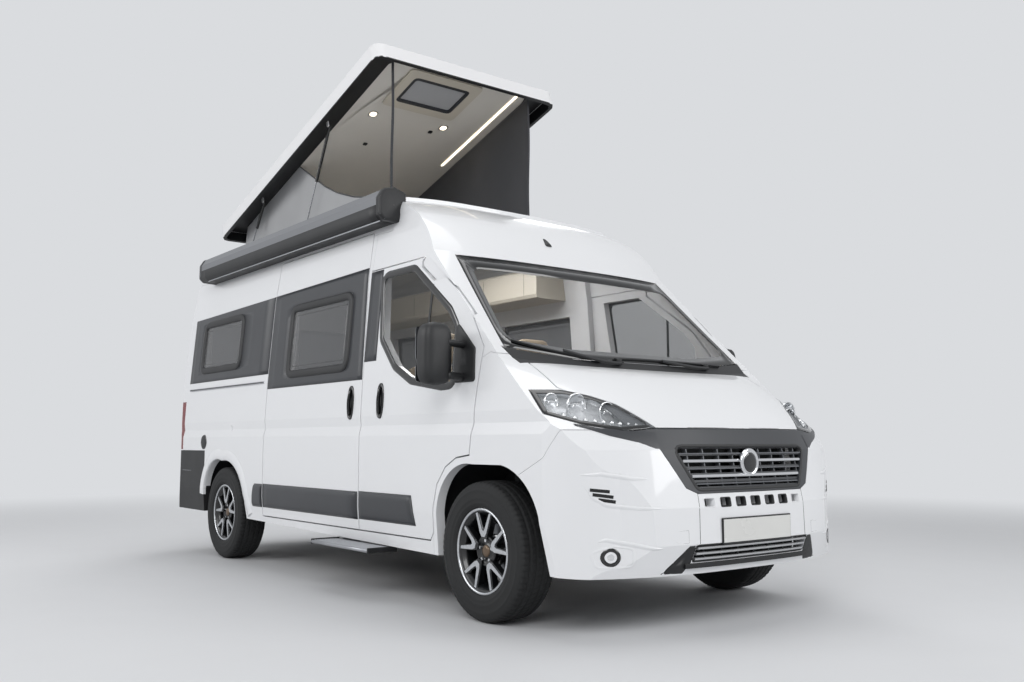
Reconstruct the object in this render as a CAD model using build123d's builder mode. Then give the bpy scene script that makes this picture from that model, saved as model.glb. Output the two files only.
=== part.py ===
from build123d import *
import math
import os

os.makedirs("parts", exist_ok=True)

# Frame: X forward, Y to the van's left, Z up from the ground, origin under the middle of the van.
# Every length is in millimetres.

# Main sizes of the van
body_length = 5413
body_width = 2050
front_overhang = 948
wheelbase = 3450
wall = 55
panel_gap = 8
glass_thick = 5
glass_inset = 2
flange_depth = 16
seat_gap = 0.3

front_end = body_length / 2
rear_end = -body_length / 2
front_axle_x = front_end - front_overhang
rear_axle_x = front_axle_x - wheelbase
half_width = body_width / 2

# Wheels, tyres and the parts that carry them
tyre_radius = 355
rim_radius = 219
front_track = 1810
rear_track = 1790
kingpin_y = 835
hub_radius = 75
axle_z = tyre_radius

# Heights of the body
sill_z = 300
rear_sill_z = 345
belt_z = 1005
rail_z = 1345
roof_seam_z = 2300
roof_z = 2470
roof_crown = 2490

# Longitudinal stations, measured from the front axle as the drawings of such a van give them
scuttle_x = front_axle_x + 200
scuttle_z = 1311
screen_top_x = front_axle_x - 470
screen_top_z = 2010
forehead_x = front_axle_x - 1058
door_rear_x = front_axle_x - 1244
slide_rear_x = front_axle_x - 2665
door_top_z = 1962
door_low_z = 375
slide_top_z = 2235
floor_low_z = 500
floor_top_z = 545

# Side profile of the outer skin at mid-width: x, z, sweep back at the flank, drop at the flank,
# and whether the point is the middle of an arc
flank_y = 1040
side_profile = [
    (front_end - 60, 285, 240, 0, False),
    (front_end, 430, 240, 0, False),
    (front_end - 4, 600, 240, 0, False),
    (front_end - 55, 870, 255, 0, False),
    (front_end - 100, 968, 270, 0, False),
    (front_end - 330, 1165, 300, 0, True),
    (scuttle_x, scuttle_z, 60, -35, False),
    (screen_top_x, screen_top_z, 110, 0, False),
    (front_axle_x - 700, 2262, 80, 20, True),
    (forehead_x, roof_z - 30, 60, 40, False),
    (front_axle_x - 1500, roof_z, 0, 45, False),
    (rear_end + 400, roof_z - 5, 0, 45, False),
    (rear_end + 135, roof_z - 45, 0, 40, True),
    (rear_end + 62, roof_seam_z + 20, 0, 20, False),
    (rear_end, 1200, 0, 0, False),
    (rear_end, rear_sill_z, 0, 0, False),
    (rear_axle_x, rear_sill_z, 0, 0, False),
    (front_axle_x - 373, sill_z, 0, 0, False),
    (front_axle_x + 566, sill_z - 12, 0, 0, False),
]

# Half section across the body, from the sill to the roof: y, z, middle of an arc
flank_section = [
    (half_width - 25, 200, False),
    (half_width - 12, 380, False),
    (half_width, 520, False),
    (half_width, belt_z - 60, False),
    (half_width - 14, belt_z, False),
    (half_width - 8, belt_z + 60, False),
    (half_width - 22, rail_z, False),
    (half_width - 72, 1953, False),
    (half_width - 125, roof_seam_z, False),
    (half_width - 165, 2415, True),
    (half_width - 270, roof_z - 15, False),
    (400, roof_crown, False),
]

# Half plan outline, from the nose to the tail: x, y, middle of an arc
half_plan = [
    (front_end + 40, 500, False),
    (front_end - 150, 800, False),
    (front_end - 262, 950, True),
    (front_end - 530, half_width, False),
    (rear_end + 90, half_width, False),
    (rear_end + 24, half_width - 30, True),
    (rear_end, half_width - 95, False),
]


def drawn_in(points, inset):
    """A closed outline moved inwards by inset, each corner along the bisector of its two sides."""
    moved = []
    turn = sum(a[0] * b[1] - b[0] * a[1] for a, b in zip(points, points[1:] + points[:1]))
    side = 1 if turn > 0 else -1
    for i, here in enumerate(points):
        before = points[i - 1]
        after = points[(i + 1) % len(points)]
        ray_in = Vector(here[0] - before[0], here[1] - before[1]).normalized()
        ray_out = Vector(after[0] - here[0], after[1] - here[1]).normalized()
        normal_in = Vector(-ray_in.Y, ray_in.X) * side
        normal_out = Vector(-ray_out.Y, ray_out.X) * side
        step = (normal_in + normal_out) * (inset / (1 + normal_in.dot(normal_out)))
        moved.append((here[0] + step.X, here[1] + step.Y))
    return moved


def draw_outline(points, middles):
    """Closed outline of lines, and of arcs through the points marked as middles."""
    count = len(points)
    for i in range(count):
        if middles[i]:
            continue
        following = (i + 1) % count
        if middles[following]:
            ThreePointArc(points[i], points[following], points[(i + 2) % count])
        else:
            Line(points[i], points[following])


def side_points(y, inset):
    """The van's side outline at distance y from its middle: sweep and drop grow as y cubed."""
    share = abs(y / flank_y) ** 3
    outline = [(x - sweep * share, z - drop * share) for x, z, sweep, drop, middle in side_profile]
    return drawn_in(outline, inset)


def mirrored(half):
    """A half outline joined with its mirror image: first the given half, then its mirror, reversed."""
    return half + [(u, -v, middle) for u, v, middle in reversed(half)]


def envelope(inset):
    """The closed outer form of the body, drawn in by inset: side loft, cross-section and plan."""
    middles = [row[4] for row in side_profile]
    section = mirrored([(z, y, middle) for y, z, middle in flank_section])
    section_points = drawn_in([(y, z) for z, y, middle in section], inset)
    plan = mirrored(half_plan)
    plan_points = drawn_in([(x, y) for x, y, middle in plan], inset)
    with BuildPart(mode=Mode.PRIVATE) as form:
        for y in (-flank_y, -0.7 * flank_y, -0.38 * flank_y, 0, 0.38 * flank_y, 0.7 * flank_y, flank_y):
            with BuildSketch(Plane.XZ.offset(-y)):
                with BuildLine():
                    draw_outline(side_points(y, inset), middles)
                make_face()
        loft()
        with BuildSketch(Plane.YZ):
            with BuildLine():
                draw_outline(section_points, [middle for z, y, middle in section])
            make_face()
        extrude(amount=body_length, both=True, mode=Mode.INTERSECT)
        with BuildSketch():
            with BuildLine():
                draw_outline(plan_points, [middle for x, y, middle in plan])
            make_face()
        extrude(amount=roof_crown * 2, mode=Mode.INTERSECT)
    return form.part


def prism(plane, outline, near, far, middles=None):
    """A prism on the outline, from near to far along the plane's normal."""
    with BuildPart(mode=Mode.PRIVATE) as solid:
        with BuildSketch(plane.offset(near)):
            with BuildLine():
                draw_outline(outline, middles or [False] * len(outline))
            make_face()
        extrude(amount=far - near)
    return solid.part


def side_prism(outline, side, inset=0, inner=560, outer=1300, middles=None):
    """A prism through one flank: side is -1 for the right and 1 for the left."""
    shape = drawn_in(outline, inset)
    near, far = (inner, outer) if side < 0 else (-outer, -inner)
    return prism(Plane.XZ, shape, near, far, middles)


def front_prism(outline, near, far, inset=0):
    """A prism along X on an outline of (y, z) points."""
    return prism(Plane.YZ, drawn_in(outline, inset), near, far)


def both_sides(half):
    """The closed outline that a half outline of (y, z) or (x, y) points makes with its mirror image."""
    return half + [(-u, v) for u, v in reversed(half)]


def at_front(points):
    """Points given from the front axle, moved to the van's frame."""
    return [(front_axle_x + x, z) for x, z in points]


# Outlines seen from the side, x from the front axle and z
door_outline = at_front([
    (-81, 841), (-28, 1202), (12, 1400), (-170, 1669), (-582, door_top_z), (-640, door_top_z + 14),
    (-1244, door_top_z + 14), (-1244, door_low_z), (-455, door_low_z), (-420, 420), (-415, 557),
    (-380, 680), (-300, 775), (-200, 825),
])
door_window = at_front([
    (-1087, 1920), (-1045, 1530), (-869, 1353), (-680, 1262), (-366, 1215), (-250, 1218), (-250, 1530),
    (-330, 1630), (-735, 1920),
])
pillar_outline = at_front([
    (60, 1392), (-60, 1392), (-250, 1640), (-645, 1925), (-645, 1950), (-500, 2100), (60, 2100),
])
pillar_y = 950
pillar_clear = 14
door_inner = 890
slide_outline = at_front([
    (-1244, door_low_z), (-1244, 1400), (-1293, slide_top_z), (-2665, slide_top_z), (-2665, door_low_z),
])
slide_window = at_front([
    (-1470, 1375), (-1470, 1860), (-2345, 1860), (-2345, 1375),
])
quarter_window = at_front([
    (-3234, 1495), (-3234, 1900), (-4052, 1900), (-4052, 1495),
])
bumper_outline = at_front([
    (328, 749), (512, 833), (608, 965), (1200, 965), (1200, 150), (300, 150),
])
front_arch = [
    (-385, 150, False), (-385, 520, False), (-300, 715, True), (-60, 794, False), (190, 794, False),
    (385, 700, True), (480, 560, False), (575, 150, False),
]
rear_arch = [
    (-385, 150, False), (-385, 480, False), (-290, 690, True), (0, 758, False), (300, 690, True),
    (440, 520, False), (540, 150, False),
]
# Outlines seen from the front, y and z, left half from the bottom up or from outside in
screen_outline = both_sides([(500, 1352), (930, 1400), (832, 1985)])
scuttle_outline = both_sides([(890, 1240), (945, 1399), (500, 1351)])
scuttle_opening = both_sides([(890, 1240), (947, 1403), (500, 1355)])
grille_outline = both_sides([(402, 662), (470, 690), (600, 900), (745, 955), (560, 975)])
lamp_outline = [
    (988, 1163), (859, 1163), (752, 1129), (670, 1088), (559, 976), (738, 957), (897, 988), (1010, 1040),
]
nose_strip = [(556, 971), (746, 951), (746, 961), (556, 981)]
# The bonnet seen from above, x from the front axle and y
bonnet_half = [(205, 858), (430, 862), (620, 755), (740, 672), (848, 560), (1100, 540)]
tailgate_low_z = 560
tailgate_high_z = 2325
tailgate_half = 900
post_width = 60
post_depth = 45
post_y = door_inner - post_width
foot_wide = 12
post_low_z = 340
post_high_z = 2285
head_low_z = 1750
head_high_z = 2150

half_gap = panel_gap / 2
seam = 2
bonnet_thick = 28
rest_x = front_axle_x + 260
rest_long = 60
rest_in_y = 800
rest_out_y = 900
gate_depth = 110
bumper_wrap = 640
vent_depth = 200
vent_z = 620
vent_width = 70
vent_height = 42
vent_pitch = 112
vent_count = 7
lip_z = 385
lip_width = 860
lip_height = 75
grille_z = 785
grille_wide = 1000
grille_tall = 190
bar_count = 6
bar_pitch = 32
bar_tall = 12
bar_back = 160
fairing_rise = 24
mirror_x = front_axle_x - 205
arm_x = front_axle_x - 170
mirror_in_y = 1075
mirror_out_y = 1254
mirror_low_z = 1197
mirror_tall = 345
mirror_deep = 130
mirror_round = 40
mirror_arm_z = (1225, 1400)
arm_deep = 60
arm_tall = 45
tail_low_z = 845
tail_high_z = 1250
tail_side = 12
tail_deep = 120
floor_gap = 3
front_box_y = 560
rear_box_y = 745
rail_y = 430
rail_wide = 75
rail_tall = 85
tank_low_z = 240
liner_room = 45
liner_thick = 8
liner_skirt = 60
liner_front_x = front_axle_x + 505
deck_front_x = front_axle_x - 400
deck_nose_x = front_axle_x + 30
rail_rear_x = rear_end + 180
rail_front_x = front_axle_x + 500
cross_wide = 60
cross_members = (rear_end + 190, front_axle_x - 2600, front_axle_x - 1500, front_axle_x - 300)
main_tank_x = (front_axle_x - 2500, front_axle_x - 1620)
main_tank_half = rail_y - 40
rear_tank_x = (rear_end + 260, rear_axle_x - 330)
rear_tank_half = rail_y - 80
arm_low_z = 225
arm_thick = 30
beam_radius = 45
stub_radius = 32
stub_back = 120
stub_reach = 15
spring_half = 560
spring_thick = 30
spring_low_z = axle_z - beam_radius - 25
spring_end = 50
carrier_reach = 150
arm_half = 45
engine_rear_x = front_axle_x + 40
engine_front_x = front_axle_x + 560
engine_half = 380
engine_top_z = 940

# Steering wheel, dashboard, seats and furniture
dash_rear_x = front_axle_x - 330
dash_front_x = front_axle_x - 20
dash_low_z = 850
dash_high_z = 1180
dash_side_gap = 20
wheel_x = front_axle_x - 440
hoop_radius = 195
hoop_inner = 175
hoop_thick = 22
spoke_tall = 40
column_radius = 32
column_long = 200
seat_x = front_axle_x - 1000
seat_half = 250
seat_base_z = 750
cushion_top_z = 880
backrest_top_z = 1420
headrest_top_z = 1640
headrest_half = 130
wardrobe_x = (slide_rear_x + 20, slide_rear_x + 600)
wardrobe_deep = 500
wardrobe_top_z = 1300
kitchen_x = (front_axle_x - 2300, front_axle_x - 1700)
kitchen_in_y = 250
kitchen_top_z = 1260
cabinet_gap = 30
bed_x = (rear_end + 300, slide_rear_x + 20 - seat_gap)
bed_side_gap = 60
bed_low_z = 830
bed_top_z = 1080
wheel_y = 400

# The awning case on the right, above the sliding door
awning_rear_x = front_axle_x - 4037
awning_front_x = front_axle_x - 1000
awning_section = [
    (-860, 2255), (-1010, 2262), (-1042, 2290), (-1042, 2400), (-1010, 2452), (-940, 2468), (-860, 2440),
]

# The step under the sliding door, drawn out
step_rear_x = front_axle_x - 1599
step_front_x = front_axle_x - 904
step_out_y = 1150
step_deep = 190
step_z = 278
step_thick = 18
step_rail_x = (step_rear_x + 60, step_front_x - 100)
step_rail_wide = 40
step_rail_tall = 22

# The lifting roof
lid_angle = 16.93
lid_rear_z = 2797
lid_length = 2834
lid_half = 800
lid_deep = 110
lid_thick = 25
lid_rim = 25
lid_round = 70
light_u = 2490
light_y = -115
light_long = 370
light_wide = 560
light_frame = 60
light_round = 40
light_drop = 20
tent_clear = 3
tent_front_x = front_axle_x - 1600
tent_rear_x = front_axle_x - 4080
tent_half = 612
cloth = 6
tent_border = 90
ring_front_x = front_axle_x - 1400
ring_rear_x = front_axle_x - 4235
ring_half = 790
ring_top_z = 2500
ring_rim = 215
ring_lip = 72
lift_u = 250
lift_h = -70
lift_foot_z = 2524
lift_arm = 160
lift_y = 575
lug_plate = 8
arm_width = 36
arm_plate = 10
strut_y = 670
strut_h = -60
strut_foot_z = 2520
front_strut_foot = front_axle_x - 2815
rear_strut_foot = front_axle_x - 3872
front_strut_u = 1888
rear_strut_u = 668
front_tube = 440
rear_tube = 250
tube_radius = 12
rod_radius = 5
rod_gap = 0.5
rod_seated = 15

# Wheel sections
bead_y = 95
side_y = 112
tread_y = 88
disc_y = 82
spoke_count = 5
spoke_tilt = 14
spoke_width = 26
spoke_thick = 38
hub_deep = 40
corner_high_z = 837
arch_depth = 300
sill_inner = half_width - wall - 30
sill_top_z = 488

# The lifting roof, drawn in its own plane along the open lid's top
lid_turn = math.radians(lid_angle)
lid_rear_x = front_axle_x - 4237
along = Vector(math.cos(lid_turn), 0, math.sin(lid_turn))
up = Vector(-math.sin(lid_turn), 0, math.cos(lid_turn))
lid_origin = Vector(lid_rear_x, 0, lid_rear_z)


def on_lid(u, h, y=0):
    """A point of the lid: u along it from its rear edge, h above its top, y across."""
    return lid_origin + along * u + up * h + Vector(0, y, 0)


# Knee arms that lift the lid's rear end, one pair each side
lift_pin = on_lid(lift_u, lift_h)
foot_x = lift_pin.X
arm_rise = math.asin((lift_pin.Z - lift_foot_z) / 2 / lift_arm)
knee = Vector(foot_x + lift_arm * math.cos(arm_rise), 0, (lift_pin.Z + lift_foot_z) / 2)
foot = Vector(foot_x, 0, lift_foot_z)


body_form = envelope(0)
cabin_form = envelope(wall)
with BuildPart() as shell:
    add(body_form)
    add(cabin_form, mode=Mode.SUBTRACT)
    for arch, axle in ((front_arch, front_axle_x), (rear_arch, rear_axle_x)):
        outline = [(axle + x, z) for x, z, middle in arch]
        flags = [middle for x, z, middle in arch]
        for side in (-1, 1):
            add(side_prism(outline, side, middles=flags, inner=half_width - arch_depth), mode=Mode.SUBTRACT)
    with BuildSketch():
        with Locations(((front_axle_x + 560 + rear_end + 60) / 2, 0)):
            Rectangle(front_axle_x + 560 - rear_end - 60, 2 * sill_inner)
    extrude(amount=sill_top_z, mode=Mode.SUBTRACT)
body_shell = shell.part

seated_form = envelope(-seat_gap)
glass_skin_outer = envelope(glass_inset)
glass_skin_inner = envelope(glass_inset + glass_thick)
bonnet_inner = envelope(bonnet_thick)
bonnet_rest = envelope(bonnet_thick + seat_gap)
flange_form = envelope(flange_depth)
bonnet_outline = [(front_axle_x + x, y) for x, y in bonnet_half]
bonnet_outline += [(x, -y) for x, y in reversed(bonnet_outline)]
gate_outline = [(-tailgate_half, tailgate_low_z), (tailgate_half, tailgate_low_z)]
gate_outline += [(y, z + tailgate_high_z - tailgate_low_z) for y, z in reversed(gate_outline)]
cap_outline = at_front([(-1058, roof_seam_z - 90), (-1058, 2700), (-5000, 2700), (-5000, roof_seam_z)])
skirt_outline = [
    (rear_end - 60, 150), (rear_end + bumper_wrap, 150), (rear_end + bumper_wrap, corner_high_z),
    (rear_end - 60, corner_high_z),
]
wing_outline = at_front([
    (-425, 150), (-425, 1310), (-28, 1335), (74, 1370), (205, 1345), (1000, 1345), (1000, 150),
])
cab_outline = at_front([(-1240, 1000), (-1240, 2600), (1000, 2600), (1000, 1000)])
fairing_outline = at_front([(-1056, 2395), (-1375, 2420), (-1375, 2700), (-1056, 2700)])
gate_window_half = [(60, 1400), (60, 1960), (780, 1960), (780, 1400)]


def lamp_prism(side, inset):
    """The headlamp's outline seen from the front, through the nose on one side."""
    outline = [(side * y, z) for y, z in lamp_outline]
    return front_prism(outline, front_axle_x + 280, front_end + 60, inset)


door_cuts = {}
for side in (-1, 1):
    with BuildPart() as door_cut:
        add(side_prism(door_outline, side, -half_gap, door_inner))
        add(side_prism(pillar_outline, side, 0, 560, pillar_y), mode=Mode.SUBTRACT)
    door_cuts[side] = door_cut.part

with BuildPart() as body_left:
    add(body_shell)
    add(front_prism(screen_outline, front_axle_x - 700, front_axle_x + 420), mode=Mode.SUBTRACT)
    add(front_prism(scuttle_opening, front_axle_x + 20, front_axle_x + 205), mode=Mode.SUBTRACT)
    add(front_prism(grille_outline, front_axle_x + 560, front_end + 60), mode=Mode.SUBTRACT)
    add(prism(Plane.XY, drawn_in(bonnet_outline, -half_gap), 900, 1500), mode=Mode.SUBTRACT)
    for side in (-1, 1):
        add(lamp_prism(side, 0), mode=Mode.SUBTRACT)
        strip = [(side * y, z) for y, z in nose_strip]
        add(front_prism(strip, front_axle_x + 560, front_end + 60), mode=Mode.SUBTRACT)
        add(door_cuts[side], mode=Mode.SUBTRACT)
    add(side_prism(slide_outline, -1, -half_gap), mode=Mode.SUBTRACT)
    add(side_prism(quarter_window, -1), mode=Mode.SUBTRACT)
    add(side_prism(quarter_window, 1), mode=Mode.SUBTRACT)
    add(side_prism(slide_window, 1), mode=Mode.SUBTRACT)
    add(front_prism(gate_outline, rear_end - 20, rear_end + gate_depth, -half_gap), mode=Mode.SUBTRACT)
frame_rest = body_left.part


def seated(whole, region, seat):
    """What lies in the region, with a flange behind the skin that reaches out to the seat."""
    with BuildPart(mode=Mode.PRIVATE) as flange:
        add(whole)
        add(flange_form, mode=Mode.INTERSECT)
        add(seat, mode=Mode.INTERSECT)
    with BuildPart(mode=Mode.PRIVATE) as panel:
        add(whole)
        add(region, mode=Mode.INTERSECT)
        add(flange.part)
    return panel.part


def split_off(whole, outline):
    """Two pieces of the shell, parted along a side outline: what lies inside it, and the rest."""
    with BuildPart(mode=Mode.PRIVATE) as outside:
        add(whole)
        add(through(outline, 0), mode=Mode.SUBTRACT)
    return seated(whole, through(outline, seam), through(outline, seat_gap)), outside.part


def through(outline, inset):
    """A prism through the whole width of the van on a side outline."""
    return prism(Plane.XZ, drawn_in(outline, inset), -body_width, body_width)


def slab(x0, x1, y0, y1, z0, z1):
    """A block between two corners."""
    return prism(Plane.XY, [(x0, y0), (x1, y0), (x1, y1), (x0, y1)], z0, z1)


bumper_part, rest_1 = split_off(frame_rest, bumper_outline)
roof_part, rest_2 = split_off(rest_1, cap_outline)
skirt_part, rest_3 = split_off(rest_2, skirt_outline)
wing_part, rest_4 = split_off(rest_3, wing_outline)
cab_part, wall_part = split_off(rest_4, cab_outline)

with BuildPart() as front_bumper:
    add(bumper_part)
    with BuildSketch(Plane.YZ.offset(front_end - vent_depth)):
        with Locations((0, vent_z)):
            with GridLocations(vent_pitch, 1, vent_count, 1):
                Rectangle(vent_width, vent_height)
        with Locations((0, lip_z)):
            Rectangle(lip_width, lip_height)
    extrude(amount=vent_depth * 2, mode=Mode.SUBTRACT)

with BuildPart() as rear_bumper:
    add(skirt_part)

with BuildPart() as front_wings:
    add(wing_part)
    for side in (-1, 1):
        with BuildPart(mode=Mode.PRIVATE) as rest:
            y0, y1 = sorted((side * rest_in_y, side * rest_out_y))
            add(bonnet_rest)
            add(slab(rest_x, rest_x + rest_long, y0, y1, belt_z, scuttle_z + 60), mode=Mode.INTERSECT)
            add(cabin_form, mode=Mode.SUBTRACT)
        add(rest.part)

with BuildPart() as cab_frame:
    add(cab_part)

# Posts behind the front doors' rear edges, each standing on the sill and joined to the body's side above
post_rear_x = door_rear_x - post_width
post_front_x = door_rear_x + post_width / 2
post_outer = envelope(wall + seat_gap)
post_middle = envelope(wall / 2)
post_inner = envelope(wall + post_depth)


def door_post(side):
    """The post behind the rear edge of one front door."""
    y0, y1 = sorted((side * half_width, side * post_y))
    with BuildPart(mode=Mode.PRIVATE) as head:
        add(post_middle)
        add(slab(door_rear_x - panel_gap - half_gap, door_rear_x - half_gap - 2, y0, y1,
                 head_low_z, head_high_z), mode=Mode.INTERSECT)
    with BuildPart(mode=Mode.PRIVATE) as post:
        add(post_outer)
        add(slab(post_rear_x, post_front_x, y0, y1, post_low_z, post_high_z), mode=Mode.INTERSECT)
        add(head.part)
        add(post_inner, mode=Mode.SUBTRACT)
        y0, y1 = sorted((side * (sill_inner + foot_wide), side * sill_inner))
        add(slab(post_rear_x, post_front_x, y0, y1, sill_z + post_depth, post_low_z + wall))
    return post.part


with BuildPart() as side_wall_right:
    add(wall_part)
    add(slab(rear_end, front_end, 0, half_width, 0, roof_z), mode=Mode.SUBTRACT)
    add(door_post(-1))

with BuildPart() as side_wall_left:
    add(wall_part)
    add(slab(rear_end, front_end, -half_width, 0, 0, roof_z), mode=Mode.SUBTRACT)
    add(door_post(1))

with BuildPart() as roof_panel:
    add(roof_part)
    add(slab(ring_rear_x, ring_front_x, -ring_half, ring_half, roof_z - 100, ring_top_z))
    add(cabin_form, mode=Mode.SUBTRACT)
    add(slab(ring_rear_x + ring_rim, ring_front_x - ring_rim, -tent_half + ring_lip, tent_half - ring_lip,
             roof_z - 150, ring_top_z), mode=Mode.SUBTRACT)
    for side in (-1, 1):
        lug_y = lift_y + arm_plate / 2
        y0, y1 = sorted((side * (lug_y + seat_gap), side * (lug_y + lug_plate)))
        add(slab(foot_x - arm_width / 2, foot_x + arm_width / 2, y0, y1, ring_top_z - 5,
                 lift_foot_z + arm_width / 2))
        lug_y = strut_y + rod_radius
        for x in (front_strut_foot, rear_strut_foot):
            y0, y1 = sorted((side * (lug_y + seat_gap), side * (lug_y + lug_plate)))
            add(slab(x - tube_radius, x + tube_radius, y0, y1, ring_top_z - 5, strut_foot_z + tube_radius))

with BuildPart() as roof_fairing:
    add(envelope(-fairing_rise))
    add(through(fairing_outline, 0), mode=Mode.INTERSECT)
    add(prism(Plane.YZ, drawn_in(awning_section, -1), awning_rear_x, awning_front_x + 1), mode=Mode.SUBTRACT)
    add(seated_form, mode=Mode.SUBTRACT)
    add(slab(ring_rear_x, ring_front_x + seat_gap, -ring_half, ring_half, roof_z - 100, roof_z + 100),
        mode=Mode.SUBTRACT)

with BuildPart() as windscreen:
    add(glass_skin_outer)
    add(glass_skin_inner, mode=Mode.SUBTRACT)
    add(front_prism(screen_outline, front_axle_x - 650, front_axle_x + 400, seat_gap), mode=Mode.INTERSECT)

with BuildPart() as scuttle_panel:
    scuttle_rear_x = front_axle_x + 20
    scuttle_front_x = front_axle_x + 205
    add(seated(body_shell,
               front_prism(scuttle_outline, scuttle_rear_x + seam, scuttle_front_x - seam, seam),
               front_prism(scuttle_outline, scuttle_rear_x + seat_gap, scuttle_front_x - seat_gap, seat_gap)))

with BuildPart() as bonnet:
    add(body_form)
    add(bonnet_inner, mode=Mode.SUBTRACT)
    add(prism(Plane.XY, drawn_in(bonnet_outline, half_gap), 930, 1400), mode=Mode.INTERSECT)
    for side in (-1, 1):
        add(lamp_prism(side, -seam), mode=Mode.SUBTRACT)
    add(front_prism(grille_outline, front_axle_x + 560, front_end + 60, -seam), mode=Mode.SUBTRACT)

with BuildPart() as headlamps:
    for side in (-1, 1):
        add(seated(body_shell, lamp_prism(side, seam), lamp_prism(side, seat_gap)))

with BuildPart() as grille_bars:
    with BuildSketch(Plane.YZ.offset(front_end - bar_back)):
        with Locations((0, grille_z)):
            Trapezoid(grille_wide + 2 * seam, grille_tall + 2 * seam, 60, rotation=180)
            for row in range(bar_count):
                with Locations((0, (row - (bar_count - 1) / 2) * bar_pitch)):
                    Rectangle(grille_wide * 2, bar_pitch - bar_tall, mode=Mode.SUBTRACT)
    extrude(amount=bar_back)
    add(glass_skin_inner, mode=Mode.INTERSECT)

with BuildPart() as radiator_grille:
    add(seated(body_shell, front_prism(grille_outline, front_axle_x + 560 + seam, front_end + 60, seam),
               front_prism(grille_outline, front_axle_x + 560 + seat_gap, front_end + 60, seat_gap)))
    with BuildSketch(Plane.YZ.offset(front_end - vent_depth)):
        with Locations((0, grille_z)):
            Trapezoid(grille_wide, grille_tall, 60, rotation=180)
    extrude(amount=vent_depth * 2, mode=Mode.SUBTRACT)
    add(grille_bars.part)

with BuildPart() as sliding_door:
    add(body_shell)
    add(side_prism(slide_outline, -1, half_gap), mode=Mode.INTERSECT)
    add(side_prism(slide_window, -1), mode=Mode.SUBTRACT)

with BuildPart() as side_windows:
    for outline, side in ((slide_window, -1), (quarter_window, -1), (quarter_window, 1), (slide_window, 1)):
        with BuildPart(mode=Mode.PRIVATE) as pane:
            add(glass_skin_outer)
            add(glass_skin_inner, mode=Mode.SUBTRACT)
            add(side_prism(outline, side, seat_gap), mode=Mode.INTERSECT)
        add(pane.part)


def make_door(side):
    """A front door with its window cut, on one side."""
    with BuildPart(mode=Mode.PRIVATE) as door:
        add(body_shell)
        add(side_prism(door_outline, side, half_gap, door_inner), mode=Mode.INTERSECT)
        add(side_prism(pillar_outline, side, -pillar_clear, 560, pillar_y + pillar_clear), mode=Mode.SUBTRACT)
        add(side_prism(door_window, side), mode=Mode.SUBTRACT)
    return door.part


def make_door_glass(side):
    """The pane of a front door."""
    with BuildPart(mode=Mode.PRIVATE) as pane:
        add(glass_skin_outer)
        add(glass_skin_inner, mode=Mode.SUBTRACT)
        add(side_prism(door_window, side, seat_gap), mode=Mode.INTERSECT)
    return pane.part


def make_mirror(side):
    """A door mirror: two arms from the door's corner to a tall housing."""
    y_in = side * (half_width - 60)
    y_head = side * mirror_in_y
    y_out = side * mirror_out_y
    with BuildPart(mode=Mode.PRIVATE) as mirror:
        with BuildSketch(Plane.XY.offset(mirror_low_z)):
            with Locations((mirror_x, (y_head + y_out) / 2)):
                RectangleRounded(mirror_deep, abs(y_out - y_head), mirror_round)
        extrude(amount=mirror_tall)
        for z in mirror_arm_z:
            y0, y1 = sorted((y_in, y_head))
            add(slab(arm_x - arm_deep / 2, arm_x + arm_deep / 2, y0, y1, z, z + arm_tall))
        add(seated_form, mode=Mode.SUBTRACT)
    return mirror.part


def make_gate(side):
    """One rear door with its window cut."""
    low_y, high_y = (-tailgate_half, 0) if side < 0 else (0, tailgate_half)
    outline = [
        (low_y, tailgate_low_z), (high_y, tailgate_low_z), (high_y, tailgate_high_z), (low_y, tailgate_high_z),
    ]
    with BuildPart(mode=Mode.PRIVATE) as gate:
        add(body_shell)
        add(front_prism(outline, rear_end - 20, rear_end + gate_depth, half_gap), mode=Mode.INTERSECT)
        add(front_prism(gate_window(side), rear_end - 20, rear_end + gate_depth), mode=Mode.SUBTRACT)
    return gate.part


def gate_window(side):
    """The window of one rear door, y and z."""
    return [(side * y, z) for y, z in gate_window_half]


def make_gate_glass(side):
    """The pane of one rear door."""
    with BuildPart(mode=Mode.PRIVATE) as pane:
        add(glass_skin_outer)
        add(glass_skin_inner, mode=Mode.SUBTRACT)
        add(front_prism(gate_window(side), rear_end - 20, rear_end + gate_depth, seat_gap), mode=Mode.INTERSECT)
    return pane.part


with BuildPart() as tail_lamps:
    for side in (-1, 1):
        y0, y1 = sorted((side * (tailgate_half + tail_side), side * (half_width + seat_gap)))
        add(slab(rear_end, rear_end + tail_deep, y0, y1, tail_low_z, tail_high_z))
    add(body_shell, mode=Mode.INTERSECT)

for wall_side in (side_wall_right, side_wall_left):
    with wall_side:
        for side in (-1, 1):
            y0, y1 = sorted((side * (tailgate_half + tail_side - seam), side * (half_width + 5)))
            add(slab(rear_end - 5, rear_end + tail_deep + seam, y0, y1, tail_low_z - seam, tail_high_z + seam),
                mode=Mode.SUBTRACT)

# Floor, wheel boxes, chassis rails and the tanks slung under the floor
cabin_half = half_width - wall - floor_gap
rail_low_z = floor_low_z - rail_tall
hung_z = floor_low_z - seat_gap
rail_out_y = rail_y + rail_wide


def wheel_box(arch, axle, side, box_y, room, low_z):
    """The space over one wheel: its arch grown by room, from box_y outwards, open below low_z."""
    flags = [middle for x, z, middle in arch]
    outline = [(axle + x, max(z, low_z)) for x, z, middle in arch]
    return side_prism(outline, side, -room, box_y, body_width, flags)


wheel_places = [
    (arch, axle, side, box_y)
    for arch, axle, box_y in ((front_arch, front_axle_x, front_box_y), (rear_arch, rear_axle_x, rear_box_y))
    for side in (-1, 1)
]

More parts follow.
